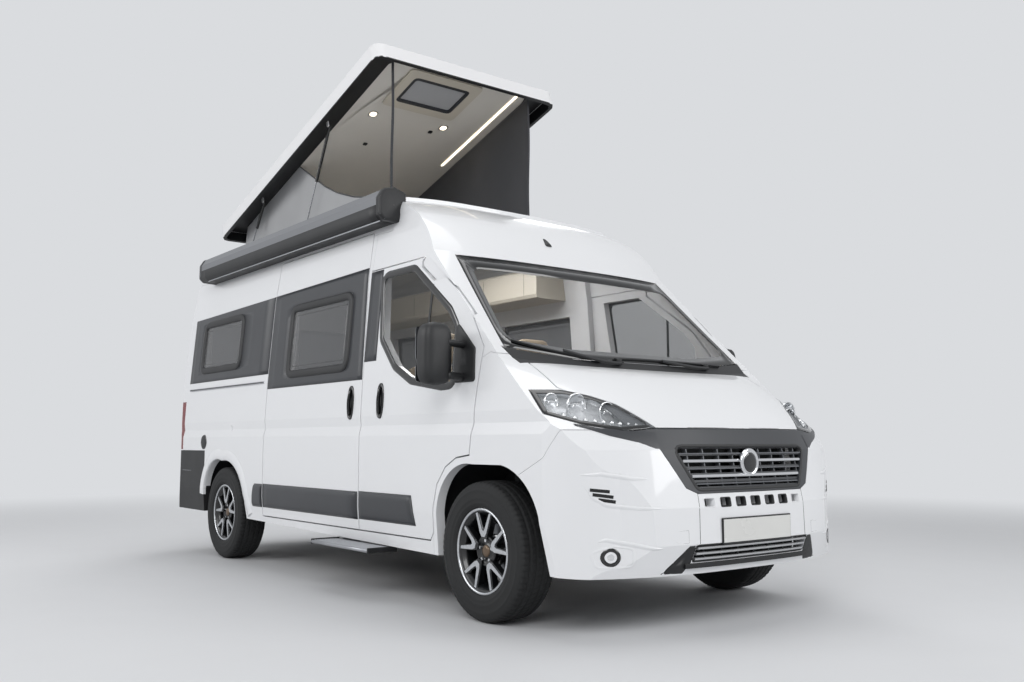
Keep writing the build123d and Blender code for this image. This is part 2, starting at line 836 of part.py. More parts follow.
with BuildPart() as cabin_cut:
    add(envelope(wall + floor_gap))
    add(slab(rear_end, rear_end + gate_depth + 10, -cabin_half, cabin_half, 0, roof_z), mode=Mode.SUBTRACT)
    for side in (-1, 1):
        y0, y1 = sorted((side * (cabin_half - post_depth - floor_gap), side * half_width))
        add(slab(post_rear_x - seat_gap, post_front_x + seat_gap, y0, y1, 0, roof_z), mode=Mode.SUBTRACT)
        y0, y1 = sorted((side * (sill_inner - floor_gap), side * body_width))
        add(slab(rear_end, front_end, y0, y1, 0, sill_top_z + seat_gap), mode=Mode.SUBTRACT)

with BuildPart() as floor_deck:
    add(slab(rear_end, deck_front_x, -cabin_half, cabin_half, floor_low_z, floor_top_z))
    add(slab(deck_front_x, deck_nose_x, -front_box_y, front_box_y, floor_low_z, floor_top_z))
    for arch, axle, side, box_y in wheel_places:
        add(wheel_box(arch, axle, side, box_y - liner_thick - seat_gap, liner_room + liner_thick + seat_gap,
                      floor_low_z - liner_skirt), mode=Mode.SUBTRACT)
    add(cabin_cut.part, mode=Mode.INTERSECT)

with BuildPart() as wheel_liners:
    for arch, axle, side, box_y in wheel_places:
        add(wheel_box(arch, axle, side, box_y - liner_thick, liner_room + liner_thick,
                      floor_low_z - liner_skirt))
    for arch, axle, side, box_y in wheel_places:
        add(wheel_box(arch, axle, side, box_y, liner_room, 0), mode=Mode.SUBTRACT)
    add(cabin_cut.part, mode=Mode.INTERSECT)
    add(slab(liner_front_x, front_end, -body_width, body_width, 0, roof_z), mode=Mode.SUBTRACT)

with BuildPart() as chassis_frame:
    for side in (-1, 1):
        y0, y1 = sorted((side * rail_y, side * rail_out_y))
        add(slab(rail_rear_x, rail_front_x, y0, y1, rail_low_z, hung_z))
    for x in cross_members:
        add(slab(x, x + cross_wide, -rail_y, rail_y, rail_low_z, hung_z))
    for x in step_rail_x:
        add(slab(x, x + step_rail_wide, -sill_inner + 10, -rail_y, step_z + step_rail_tall + seat_gap, hung_z))

with BuildPart() as underfloor_tanks:
    add(slab(main_tank_x[0], main_tank_x[1], -main_tank_half, main_tank_half, tank_low_z, hung_z))
    add(slab(rear_tank_x[0], rear_tank_x[1], -rear_tank_half, rear_tank_half, tank_low_z + 30, hung_z))

with BuildPart() as engine_block:
    add(slab(engine_rear_x, engine_front_x, -engine_half, engine_half, rail_low_z + seat_gap, engine_top_z))

with BuildPart() as front_axle_carrier:
    add(slab(front_axle_x - carrier_reach, front_axle_x + carrier_reach, -rail_out_y, rail_out_y,
             arm_low_z, rail_low_z))
    for side in (-1, 1):
        y0, y1 = sorted((side * rail_y, side * (kingpin_y + 25)))
        add(slab(front_axle_x - arm_half, front_axle_x + arm_half, y0, y1, arm_low_z, arm_low_z + arm_thick))

with BuildPart() as rear_axle:
    with BuildSketch(Plane.XZ.offset(-rear_track / 2 + stub_back)):
        with Locations((rear_axle_x, axle_z)):
            Circle(beam_radius)
    extrude(amount=rear_track - 2 * stub_back)
    with BuildSketch(Plane.XZ.offset(-rear_track / 2 - stub_reach)):
        with Locations((rear_axle_x, axle_z)):
            Circle(stub_radius)
    extrude(amount=rear_track + 2 * stub_reach)
    for side in (-1, 1):
        y0, y1 = sorted((side * rail_y, side * rail_out_y))
        add(slab(rear_axle_x - spring_half, rear_axle_x + spring_half, y0, y1,
                 spring_low_z, spring_low_z + spring_thick))
        for x in (rear_axle_x - spring_half, rear_axle_x + spring_half - spring_end):
            add(slab(x, x + spring_end, y0, y1, spring_low_z, rail_low_z))

# Inside the cab and living room: what shows through the glass
with BuildPart() as dashboard:
    dash_half = cabin_half - dash_side_gap
    add(slab(dash_rear_x, dash_front_x, -dash_half, dash_half, dash_low_z, dash_high_z))
    hoop_plane = Plane((wheel_x, wheel_y, dash_high_z), x_dir=(0, 1, 0), z_dir=(-0.8, 0, 0.6))
    with BuildSketch(hoop_plane):
        Circle(hoop_radius)
        Circle(hoop_inner, mode=Mode.SUBTRACT)
        Rectangle(hoop_inner + hoop_radius - 10, spoke_tall)
    extrude(amount=hoop_thick)
    with BuildSketch(hoop_plane):
        Circle(column_radius)
    extrude(amount=-column_long)

with BuildPart() as cab_seats:
    for y in (-wheel_y, wheel_y):
        y0, y1 = y - seat_half, y + seat_half
        add(slab(seat_x - 180, seat_x + 330, y0, y1, floor_top_z + seat_gap, seat_base_z))
        add(slab(seat_x - 220, seat_x + 340, y0 - 10, y1 + 10, seat_base_z, cushion_top_z))
        add(slab(seat_x - 330, seat_x - 180, y0, y1, seat_base_z + 30, backrest_top_z))
        add(slab(seat_x - 330, seat_x - 230, y - headrest_half, y + headrest_half,
                 backrest_top_z, headrest_top_z))

with BuildPart() as cabinets:
    wall_y = cabin_half - cabinet_gap
    cabinet_low_z = floor_top_z + seat_gap
    add(slab(wardrobe_x[0], wardrobe_x[1], -wall_y, -wall_y + wardrobe_deep, cabinet_low_z, wardrobe_top_z))
    add(slab(kitchen_x[0], kitchen_x[1], kitchen_in_y, wall_y, cabinet_low_z, kitchen_top_z))

with BuildPart() as bed_platform:
    bed_half = cabin_half - bed_side_gap
    add(slab(bed_x[0], bed_x[1], -bed_half, bed_half, bed_low_z, bed_top_z))

# Outside fittings
with BuildPart() as awning_case:
    with BuildSketch(Plane.YZ.offset(awning_rear_x)):
        with BuildLine():
            Polyline(*awning_section, close=True)
        make_face()
    extrude(amount=awning_front_x - awning_rear_x)
    add(seated_form, mode=Mode.SUBTRACT)

with BuildPart() as entry_step:
    add(slab(step_rear_x, step_front_x, -step_out_y, -step_out_y + step_deep, step_z, step_z + step_thick))
    for x in step_rail_x:
        add(slab(x, x + step_rail_wide, -step_out_y + step_deep - 10, -rail_y - 20,
                 step_z, step_z + step_rail_tall))


def link(start, end, y, width, depth):
    """A flat bar with round ends between two pin centres, on the plane at y."""
    run = end - start
    with BuildPart(mode=Mode.PRIVATE) as bar:
        with BuildSketch(Plane(origin=(start.X, y, start.Z), x_dir=run.normalized(), z_dir=(0, -1, 0))):
            with Locations((run.length / 2, 0)):
                SlotCenterToCenter(run.length, width)
        extrude(amount=depth / 2, both=True)
    return bar.part


lid_plane = Plane(origin=lid_origin, x_dir=along, z_dir=up)
with BuildPart() as pop_lid:
    with BuildSketch(lid_plane):
        with Locations((lid_length / 2, 0)):
            RectangleRounded(lid_length, 2 * lid_half, lid_round)
    extrude(amount=-lid_deep)
    with BuildSketch(lid_plane.offset(-lid_thick)):
        with Locations((lid_length / 2, 0)):
            RectangleRounded(lid_length - 2 * lid_rim, 2 * (lid_half - lid_rim), lid_round - lid_rim)
    extrude(amount=-lid_deep, mode=Mode.SUBTRACT)
    with BuildSketch(lid_plane):
        with Locations((light_u, light_y)):
            RectangleRounded(light_long, light_wide, light_round)
    extrude(amount=-lid_thick, mode=Mode.SUBTRACT)
    for side in (-1, 1):
        lug_y = side * (lift_y - 1.5 * arm_plate - 2 * seat_gap - lug_plate / 2)
        add(link(on_lid(lift_u, -lid_thick), on_lid(lift_u, lift_h), lug_y, arm_width, lug_plate))
        for strut_u in (front_strut_u, rear_strut_u):
            plate_y = side * (strut_y + tube_radius + seat_gap + lug_plate / 2)
            add(link(on_lid(strut_u, -lid_thick), on_lid(strut_u, strut_h), plate_y, 2 * tube_radius,
                     lug_plate))

with BuildPart() as roof_light:
    with BuildSketch(lid_plane.offset(-lid_thick - light_drop)):
        with Locations((light_u, light_y)):
            RectangleRounded(light_long - 2 * seat_gap, light_wide - 2 * seat_gap, light_round)
            RectangleRounded(light_long - 2 * light_frame, light_wide - 2 * light_frame, light_round / 2,
                             mode=Mode.SUBTRACT)
    extrude(amount=lid_thick + light_drop + 6)
    with BuildSketch(lid_plane.offset(-4)):
        with Locations((light_u, light_y)):
            RectangleRounded(light_long - 2 * light_frame + 2, light_wide - 2 * light_frame + 2,
                             light_round / 2)
    extrude(amount=10)

tent_low_z = ring_top_z + seat_gap


def tent_top(x):
    """Height of the tent's top edge, just under the open lid."""
    return lid_origin.Z + (x - lid_rear_x) * math.tan(lid_turn) - (lid_thick + tent_clear) / math.cos(lid_turn)


tent_outline = [
    (tent_rear_x, tent_low_z), (tent_front_x, tent_low_z),
    (tent_front_x, tent_top(tent_front_x)), (tent_rear_x, tent_top(tent_rear_x)),
]
with BuildPart() as roof_tent:
    add(prism(Plane.XZ, tent_outline, -tent_half, tent_half))
    add(prism(Plane.XZ, drawn_in(tent_outline, -50), -tent_half + cloth, tent_half - cloth), mode=Mode.SUBTRACT)
    with BuildPart(mode=Mode.PRIVATE) as ends:
        add(prism(Plane.XZ, tent_outline, -tent_half, tent_half))
        add(slab(tent_rear_x + cloth, tent_front_x - cloth, -tent_half, tent_half, roof_z - 200, 2 * roof_z),
            mode=Mode.SUBTRACT)
        add(slab(tent_front_x - 50, tent_front_x + 50, -tent_half + tent_border, tent_half - tent_border,
                 ring_top_z + tent_border, tent_top(tent_front_x) - tent_border), mode=Mode.SUBTRACT)
    add(ends.part)

with BuildPart() as lift_arms_lower:
    for side in (-1, 1):
        add(link(foot, knee, side * lift_y, arm_width, arm_plate))

with BuildPart() as lift_arms_upper:
    for side in (-1, 1):
        add(link(knee, lift_pin, side * (lift_y - arm_plate - seat_gap), arm_width, arm_plate))


def strut(top, bottom, tube_length):
    """Tube and rod of the gas struts at both sides, from the pin on the lid to the pin on the roof."""
    run = bottom - top
    ray = run.normalized()
    with BuildPart(mode=Mode.PRIVATE) as tubes:
        for side in (-1, 1):
            with BuildSketch(Plane(origin=(top.X, side * strut_y, top.Z), z_dir=ray)):
                Circle(tube_radius)
            extrude(amount=tube_length)
            with BuildSketch(Plane(origin=(top.X, side * strut_y, top.Z), z_dir=ray)):
                Circle(rod_radius + rod_gap)
            extrude(amount=tube_length, mode=Mode.SUBTRACT)
            with BuildSketch(Plane(origin=(top.X, side * strut_y, top.Z), z_dir=ray)):
                Circle(tube_radius - 1)
            extrude(amount=20)
    with BuildPart(mode=Mode.PRIVATE) as rods:
        for side in (-1, 1):
            inner = top + ray * (tube_length - rod_seated)
            with BuildSketch(Plane(origin=(inner.X, side * strut_y, inner.Z), z_dir=ray)):
                Circle(rod_radius)
            extrude(amount=run.length - tube_length + rod_seated)
    return tubes.part, rods.part


front_top = on_lid(front_strut_u, strut_h)
front_bottom = Vector(front_strut_foot, 0, strut_foot_z)
rear_top = on_lid(rear_strut_u, strut_h)
rear_bottom = Vector(rear_strut_foot, 0, strut_foot_z)
front_tubes, front_rods = strut(front_top, front_bottom, front_tube)
rear_tubes, rear_rods = strut(rear_top, rear_bottom, rear_tube)

# Wheels, drawn about the origin with the outer face towards -Y, then set in place
with BuildPart() as tyre_form:
    with BuildSketch(Plane.YZ):
        with BuildLine():
            Polyline((-bead_y, rim_radius + seat_gap), (-side_y, 290), (-side_y + 6, 325))
            ThreePointArc((-side_y + 6, 325), (-side_y + 16, 345), (-tread_y, tyre_radius - 5))
            Polyline((-tread_y, tyre_radius - 5), (-40, tyre_radius), (40, tyre_radius),
                     (tread_y, tyre_radius - 5))
            ThreePointArc((tread_y, tyre_radius - 5), (side_y - 16, 345), (side_y - 6, 325))
            Polyline((side_y - 6, 325), (side_y, 290), (bead_y, rim_radius + seat_gap),
                     (-bead_y, rim_radius + seat_gap))
        make_face()
    revolve(axis=Axis.Y)

with BuildPart() as rim_form:
    with BuildSketch(Plane.YZ):
        with BuildLine():
            Polyline(
                (-bead_y, rim_radius), (-bead_y, rim_radius - 22), (-bead_y + 30, rim_radius - 22),
                (-bead_y + 55, rim_radius - 34), (bead_y - 20, rim_radius - 34), (bead_y, rim_radius - 14),
                (bead_y, rim_radius), close=True
            )
        make_face()
    revolve(axis=Axis.Y)
    with BuildSketch(Plane.XZ.offset(disc_y)):
        Circle(hub_radius)
        with PolarLocations(0, spoke_count):
            for tilt in (-spoke_tilt, spoke_tilt):
                with Locations(Location((hub_radius * 0.7, tilt * 1.2, 0), (0, 0, tilt))):
                    Rectangle(rim_radius - 24 - hub_radius * 0.7, spoke_width, align=(Align.MIN, Align.CENTER))
    extrude(amount=-spoke_thick)
    with BuildSketch(Plane.XZ.offset(disc_y - spoke_thick + 4)):
        Circle(hub_radius)
        Circle(stub_radius + rod_gap, mode=Mode.SUBTRACT)
    extrude(amount=-hub_deep)


def wheel_place(x, side, track):
    """Where a wheel stands: the right wheels as drawn, the left ones turned half a turn about Z."""
    return Location((x, side * track / 2, axle_z), (0, 0, 0 if side < 0 else 180))


with BuildPart() as knuckle_form:
    with BuildSketch(Plane.XZ.offset(front_track / 2 - stub_back)):
        Circle(stub_radius)
    extrude(amount=stub_back + stub_reach)
    with BuildSketch(Plane.XZ.offset(front_track / 2 - stub_back)):
        Circle(hub_radius - 5)
    extrude(amount=20)
    add(slab(-28, 28, -kingpin_y - 28, -kingpin_y + 28, arm_low_z + arm_thick + seat_gap - axle_z, 120))
    add(slab(-28, 28, -kingpin_y - 28, -front_track / 2 + stub_back + 5, -28, 28))
    with BuildSketch(Plane.XY.offset(100)):
        with Locations((0, -kingpin_y + 85)):
            Circle(28)
    extrude(amount=300)
    add(slab(-28, 28, -kingpin_y - 20, -kingpin_y + 90, 90, 130))

pieces = {
    "floor_deck": floor_deck.part,
    "wheel_liners": wheel_liners.part,
    "chassis_frame": chassis_frame.part,
    "underfloor_tanks": underfloor_tanks.part,
    "side_wall_right": side_wall_right.part,
    "side_wall_left": side_wall_left.part,
    "roof_panel": roof_panel.part,
    "roof_fairing": roof_fairing.part,
    "cab_frame": cab_frame.part,
    "front_wings": front_wings.part,
    "windscreen": windscreen.part,
    "scuttle_panel": scuttle_panel.part,
    "front_bumper": front_bumper.part,
    "radiator_grille": radiator_grille.part,
    "headlamps": headlamps.part,
    "rear_bumper": rear_bumper.part,
    "tail_lamps": tail_lamps.part,
    "sliding_door": sliding_door.part,
    "side_windows": side_windows.part,
    "awning_case": awning_case.part,
    "dashboard": dashboard.part,
    "cab_seats": cab_seats.part,
    "cabinets": cabinets.part,
    "bed_platform": bed_platform.part,
    "engine_block": engine_block.part,
    "front_axle_carrier": front_axle_carrier.part,
    "rear_axle": rear_axle.part,
    "bonnet": bonnet.part,
    "entry_step": entry_step.part,
    "pop_lid": pop_lid.part,
    "roof_light": roof_light.part,
    "roof_tent": roof_tent.part,
    "lift_arms_lower": lift_arms_lower.part,
    "lift_arms_upper": lift_arms_upper.part,
    "front_strut_tubes": front_tubes,
    "front_strut_rods": front_rods,
    "rear_strut_tubes": rear_tubes,
    "rear_strut_rods": rear_rods,
}
for side_name, side in (("right", -1), ("left", 1)):
    pieces["front_door_" + side_name] = make_door(side)
    pieces["front_door_glass_" + side_name] = make_door_glass(side)
    pieces["mirror_" + side_name] = make_mirror(side)
    pieces["rear_door_" + side_name] = make_gate(side)
    pieces["rear_door_glass_" + side_name] = make_gate_glass(side)
    turn = Location((front_axle_x, 0, axle_z), (0, 0, 0 if side < 0 else 180))
    pieces["knuckle_" + side_name] = knuckle_form.part.moved(turn)
    for axle_name, x, track in (("front", front_axle_x, front_track), ("rear", rear_axle_x, rear_track)):
        place = wheel_place(x, side, track)
        pieces["tyre_" + axle_name + "_" + side_name] = tyre_form.part.moved(place)
        pieces["rim_" + axle_name + "_" + side_name] = rim_form.part.moved(place)

for name, part in pieces.items():
    part.label = name
    export_step(part, "parts/" + name + ".step")
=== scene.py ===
import math

import bpy
import numpy as np
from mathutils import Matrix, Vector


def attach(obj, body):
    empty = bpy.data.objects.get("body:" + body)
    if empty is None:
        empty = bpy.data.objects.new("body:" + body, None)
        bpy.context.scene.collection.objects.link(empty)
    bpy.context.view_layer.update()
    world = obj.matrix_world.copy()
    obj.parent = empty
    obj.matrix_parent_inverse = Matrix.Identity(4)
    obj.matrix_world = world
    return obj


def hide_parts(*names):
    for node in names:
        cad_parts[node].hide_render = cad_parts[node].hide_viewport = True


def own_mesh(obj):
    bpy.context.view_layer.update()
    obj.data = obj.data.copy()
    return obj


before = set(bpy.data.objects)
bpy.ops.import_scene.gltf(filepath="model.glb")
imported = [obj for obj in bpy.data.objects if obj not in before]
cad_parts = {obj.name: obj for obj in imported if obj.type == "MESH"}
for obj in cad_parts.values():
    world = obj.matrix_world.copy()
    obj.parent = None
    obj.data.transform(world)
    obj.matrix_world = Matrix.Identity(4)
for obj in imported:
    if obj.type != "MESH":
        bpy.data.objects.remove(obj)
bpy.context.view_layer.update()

# Lengths here are in millimetres, in the van's frame: X forward, Y to its left, Z up from the ground.
MM = 0.001
AXLE = 1758.5  # front axle; places along the van are written as a distance behind it
WHEELBASE = 3450
REAR_AXLE = AXLE - WHEELBASE
NOSE = 2706.5
TAIL = -2706.5
SIDES = ((-1, "right"), (1, "left"))
WHEEL_Z = 355.0
TRACKS = {"front": 1810, "rear": 1790}
TENT_FOOT = 2501.5
LID_TILT = math.radians(16.93)
LID_X, LID_Z = AXLE - 4237, 2797  # rear edge of the open lid's top face
BACKDROP = "DADCDF"

# Half-width of the body at each height, as (z, y)
SECTION = np.array([
    (200, 1000), (380, 1013), (520, 1025), (945, 1025), (1005, 1011), (1065, 1017), (1345, 1003), (1953, 953),
    (2300, 900),
])


def arc(a, b, c, steps):
    """Points on the circle through a, b and c, evenly spaced; its centre solves the two chords' mid-lines."""
    a, b, c = (np.array(p, float) for p in (a, b, c))
    rows = 2 * np.array([b - a, c - a])
    centre = np.linalg.solve(rows, np.array([b @ b - a @ a, c @ c - a @ a]))
    angles = [math.atan2(*(p - centre)[::-1]) for p in (a, b, c)]
    turn = (angles[2] - angles[0]) % (2 * math.pi)
    if (angles[1] - angles[0]) % (2 * math.pi) > turn:
        turn -= 2 * math.pi
    t = angles[0] + turn * np.linspace(0, 1, steps)
    return centre + np.hypot(*(a - centre)) * np.stack([np.cos(t), np.sin(t)], 1)


# Half-width at each station along the body, as (x, y): the rear corner, then the front one
PLAN = np.concatenate([
    arc((TAIL, 930), (TAIL + 24, 995), (TAIL + 90, 1025), 9),
    arc((NOSE - 530, 1025), (NOSE - 262, 950), (NOSE - 150, 800), 15), [(NOSE + 40, 500)],
])


def flank_y(x, z):
    """Distance of the skin from the middle plane at x and z: the smaller of section and plan."""
    return np.minimum(np.interp(z, *SECTION.T), np.interp(x, *PLAN.T))


def nose_table():
    """The skin's x over (share of sweep, z): each profile moved back by its sweep times the share."""
    # Columns: x and z on the middle plane, then how far back and down the point moves at a share of 1
    rows = [(NOSE - 60, 285, 240, 0), (NOSE, 430, 240, 0), (NOSE - 4, 600, 240, 0), (NOSE - 55, 870, 255, 0),
            (NOSE - 100, 968, 270, 0), (NOSE - 330, 1165, 300, 0), (AXLE + 200, 1311, 60, -35),
            (AXLE - 470, 2010, 110, 0), (AXLE - 700, 2262, 80, 20), (AXLE - 1058, 2440, 60, 40),
            (AXLE - 1500, 2470, 0, 45), ]
    table = np.array(rows, float)
    shares = np.linspace(0, 1, 41)
    heights = np.linspace(285, 2420, 428)
    found = np.empty((len(shares), len(heights)))
    for i, share in enumerate(shares):
        p = np.stack([table[:, 0] - table[:, 2] * share, table[:, 1] - table[:, 3] * share], 1)
        line = np.concatenate([p[:4], arc(p[4], p[5], p[6], 12), arc(p[7], p[8], p[9], 12), p[10:]])
        found[i] = np.interp(heights, line[:, 1], line[:, 0])
    return shares, heights, found


SHARES, HEIGHTS, NOSE_X = nose_table()
FULL_SWEEP_Y = 1040


def nose_x(y, z):
    """The skin's x seen from the front: bilinear in the table at share |y / 1040| cubed, within the plan."""
    share = np.clip(np.abs(y) / FULL_SWEEP_Y, 0, 1) ** 3 * (len(SHARES) - 1)
    rise = np.clip((np.asarray(z) - HEIGHTS[0]) / (HEIGHTS[1] - HEIGHTS[0]), 0, len(HEIGHTS) - 1.001)
    i, j = np.minimum(share.astype(int), len(SHARES) - 2), rise.astype(int)
    u, v = share - i, rise - j
    below = NOSE_X[i, j] * (1 - u) + NOSE_X[i + 1, j] * u
    above = NOSE_X[i, j + 1] * (1 - u) + NOSE_X[i + 1, j + 1] * u
    return np.minimum(below * (1 - v) + above * v, plan_x(y))


def nose_at(y, z):
    """The skin's x at one point of the front."""
    return float(nose_x(np.array(float(y)), np.array(float(z))))


def plan_x(y):
    """Where the plan outline reaches the half-width |y|, on the front corner."""
    front = PLAN[PLAN[:, 0] > 0]
    order = np.argsort(front[:, 1])
    return np.interp(np.abs(y), front[order, 1], front[order, 0])


# Materials

def linear(code):
    """An sRGB hex colour as linear red, green, blue and full cover."""
    values = [int(code[i:i + 2], 16) / 255 for i in (0, 2, 4)]
    return [v / 12.92 if v <= 0.04045 else ((v + 0.055) / 1.055) ** 2.4 for v in values] + [1.0]


def add_node(material, kind, links=(), **settings):
    """Adds a node; settings name its properties, links give (input, value or socket)."""
    item = material.node_tree.nodes.new(kind)
    for key, value in settings.items():
        setattr(item, key, value)
    for key, value in links:
        if isinstance(value, bpy.types.NodeSocket):
            material.node_tree.links.new(value, item.inputs[key])
        else:
            item.inputs[key].default_value = value
    return item


def finish(name, code, rough, grain=None, depth=0.0, mottle=0.0, stretch=(1, 1, 1), **sockets):
    """A surface finish: base colour, grain of a size and depth in mm, and slow mottling to a darker tone."""
    material = bpy.data.materials.new(name)
    material.use_nodes = True
    shader = material.node_tree.nodes["Principled BSDF"]
    shader.inputs["Base Color"].default_value = linear(code)
    shader.inputs["Roughness"].default_value = rough
    for key, value in sockets.items():
        shader.inputs[key.replace("_", " ")].default_value = value
    place = add_node(material, "ShaderNodeTexCoord")
    scaled = add_node(material, "ShaderNodeMapping", [
        ("Vector", place.outputs["Object"]), ("Scale", stretch)])
    link = material.node_tree.links.new
    if mottle:
        cloud = add_node(material, "ShaderNodeTexNoise", [
            ("Vector", scaled.outputs[0]), ("Scale", 3.5), ("Detail", 4.0)])
        tone = add_node(material, "ShaderNodeMix", [(0, cloud.outputs["Fac"])], data_type="RGBA")
        tone.inputs[6].default_value = linear(code)
        tone.inputs[7].default_value = [c * (1 - mottle) for c in linear(code)[:3]] + [1.0]
        link(tone.outputs[2], shader.inputs["Base Color"])
        worn = add_node(material, "ShaderNodeMapRange", [
            ("Value", cloud.outputs["Fac"]), ("To Min", max(rough - 0.06, 0.02)),
            ("To Max", min(rough + 0.08, 1.0))])
        link(worn.outputs[0], shader.inputs["Roughness"])
    if grain:
        pits = add_node(material, "ShaderNodeTexNoise", [
            ("Vector", scaled.outputs[0]), ("Scale", 1000 / grain), ("Detail", 2.0), ("Roughness", 0.6)])
        bump = add_node(material, "ShaderNodeBump", [
            ("Height", pits.outputs["Fac"]), ("Distance", depth * MM), ("Strength", 1.0)])
        link(bump.outputs["Normal"], shader.inputs["Normal"])
    return material


# Baked white enamel over steel: an even clear-coated gloss, its ripple drawn 40 mm long so that it shows
enamel = finish("baked_white_enamel", "E6E7E9", 0.3, grain=40, depth=0.03, mottle=0.02, Coat_Weight=0.6,
                Coat_Roughness=0.04)
# Gel-coated glass fibre of the lifting roof: white, a little softer than the body
gelcoat = finish("white_gelcoat", "E9E9EA", 0.32, grain=60, depth=0.05, mottle=0.02, Coat_Weight=0.4)
# Moulded ABS with a leather grain, drawn 4 mm wide: dull black, for bumpers, mirrors and frames
abs_black = finish("grained_black_abs", "17181A", 0.5, grain=4, depth=0.12, mottle=0.25)
# Smooth moulded ABS, satin, for the grille's surround, the side mouldings and the window bands
abs_grey = finish("satin_grey_abs", "34363A", 0.38, grain=3, depth=0.03, mottle=0.15)
# Polished ABS of handles, lamp rims and window surrounds: a black mirror with slow waves
abs_gloss = finish("gloss_black_abs", "08090A", 0.12, grain=30, depth=0.01, mottle=0.1, Coat_Weight=0.5)
# Paint on the grille's dull bars and ribs: satin grey with a little metal in it
bar_paint = finish("satin_grey_paint", "6E7074", 0.32, grain=6, depth=0.02, mottle=0.1, Metallic=0.4)
# Paint on the lower slats: bright metal flake under a satin surface
silver_paint = finish("silver_paint", "B9BABC", 0.34, grain=2, depth=0.02, mottle=0.08, Metallic=0.75)
# Vacuum-metallised reflector bowls: bright mirrors with slow dents
reflector = finish("metallised_reflector", "E4E5E6", 0.08, grain=25, depth=0.05, mottle=0.05, Metallic=1.0)
# Vapour-metallised lamp housing: a pale, slightly hazy mirror
lamp_bowl = finish("metallised_housing", "D6D8DB", 0.25, grain=12, depth=0.05, mottle=0.1, Metallic=0.35)
# Chrome plate on moulded bars: a clean mirror
chrome_plate = finish("chrome_plate", "D8D9DB", 0.07, grain=30, depth=0.01, mottle=0.05, Metallic=1.0)
# Anodised aluminium of the awning case and the step: fine lines drawn along the extrusion
anodised = finish("anodised_aluminium", "7C7E82", 0.42, grain=3, depth=0.05, mottle=0.12, Metallic=0.2,
                  stretch=(0.06, 1, 1))
# Brushed aluminium of rails and ribs: brighter, with lines 60 mm long
rail_metal = finish("brushed_aluminium", "A9ABAF", 0.35, grain=3, depth=0.05, mottle=0.1, Metallic=0.9,
                    stretch=(0.05, 1, 1))
# Vulcanised tyre rubber: dull, slightly dusty, with a fine rough skin
tyre_rubber = finish("tyre_rubber", "1B1C1D", 0.78, grain=3, depth=0.15, mottle=0.3)
# Turned aluminium of the spokes' faces and the rim's lip: pale and bright, with fine marks
machined = finish("machined_aluminium", "C6C8CB", 0.26, grain=2, depth=0.02, mottle=0.08, Metallic=0.95)
# Baked paint behind the spokes: smooth black under a clear coat
wheel_black = finish("black_wheel_paint", "101113", 0.3, grain=10, depth=0.02, mottle=0.1, Coat_Weight=0.3)
# Metallic paint of the wheels' centre caps: warm bronze
cap_paint = finish("bronze_paint", "6C5B4B", 0.35, grain=5, depth=0.02, mottle=0.15, Metallic=0.5)
# Dipped paint of frame and axles: black, dull and a little lumpy
chassis_paint = finish("chassis_paint", "121314", 0.6, grain=12, depth=0.3, mottle=0.35)
# Sand-cast iron of knuckles, calipers and engine: dark grey and rough
cast_iron = finish("cast_iron", "3A3B3C", 0.62, grain=5, depth=0.3, mottle=0.3, Metallic=0.6)
# Ground steel of arms and rods: a soft mirror with fine scratches
steel = finish("ground_steel", "9EA0A3", 0.25, grain=1.5, depth=0.02, mottle=0.15, Metallic=1.0)
# Turned steel of the brake discs: darker, unevenly polished by the pads
disc_steel = finish("turned_brake_disc", "77797C", 0.3, grain=2, depth=0.05, mottle=0.2, Metallic=1.0)
# Polyester-cotton tent cloth: its weave is a grain drawn 4 mm wide and 8 mm high, with slow unevenness
tent_pale = finish("pale_tent_cloth", "A9AAAC", 0.85, grain=4, depth=0.35, mottle=0.16, Sheen_Weight=0.3,
                   stretch=(1, 1, 0.5))
# The same cloth drawn dark grey: painted shade on the left wall, whose inner face lies in the tent's shadow;
# the zips and the flap's hem are drawn in it too
tent_trim_and_shade = finish("dark_tent_trim_and_painted_shade", "3C3D41", 0.9, grain=4, depth=0.35, mottle=0.3, Sheen_Weight=0.2,
                   stretch=(1, 1, 0.5))
# Needle felt that lines the lid, and the mattress cover: pale, with a soft nap
lining = finish("roof_lining_felt", "D8D4CC", 0.9, grain=3, depth=0.2, mottle=0.08, Sheen_Weight=0.2)
# Grained artificial leather: beige on the seats, brown on the steering wheel's rim and the worktop
seat_leather = finish("beige_leather", "A8977F", 0.5, grain=5, depth=0.3, mottle=0.12, Sheen_Weight=0.1)
seat_dark = finish("brown_leather", "5E5145", 0.5, grain=5, depth=0.3, mottle=0.15)
# Moulded dashboard skin: dark, matt and leather-grained
dash_grain = finish("grained_dashboard", "222325", 0.6, grain=5, depth=0.2, mottle=0.2)
# Laminated furniture board: cream, smooth and faintly uneven
cabinet = finish("cabinet_laminate", "C9C2B4", 0.4, grain=20, depth=0.02, mottle=0.06)
# Vinyl floor with a wood look: brown, streaked along the van
floor_vinyl = finish("wood_look_vinyl", "6B5A48", 0.5, grain=30, depth=0.1, mottle=0.3, stretch=(0.1, 1, 1))
# Enamelled number plates with nothing on them: white under a clear coat
plate_white = finish("blank_plate_enamel", "D9D9D6", 0.25, grain=20, depth=0.02, mottle=0.04, Coat_Weight=0.3)
# Extruded rubber of seals and dark gaps: near black and dull
seal = finish("rubber_seal", "0D0E0F", 0.7, grain=3, depth=0.05, mottle=0.2)
# Moulded amber lens of the rear indicators, partly clear
amber = finish("amber_lens", "C0661A", 0.12, grain=8, depth=0.1, mottle=0.1, Transmission_Weight=0.4)
# Lit diffuser of the lid's strip and spots: warm white
lamp_light = finish("lit_strip", "F4E8D2", 0.4, mottle=0.02, Emission_Strength=2.2)
lamp_light.node_tree.nodes["Principled BSDF"].inputs["Emission Color"].default_value = linear("FFF1DA")
# Silvered mirror glass
mirror_glass = finish("mirror_glass", "C9CDD2", 0.03, grain=200, depth=0.01, mottle=0.02, Metallic=1.0)


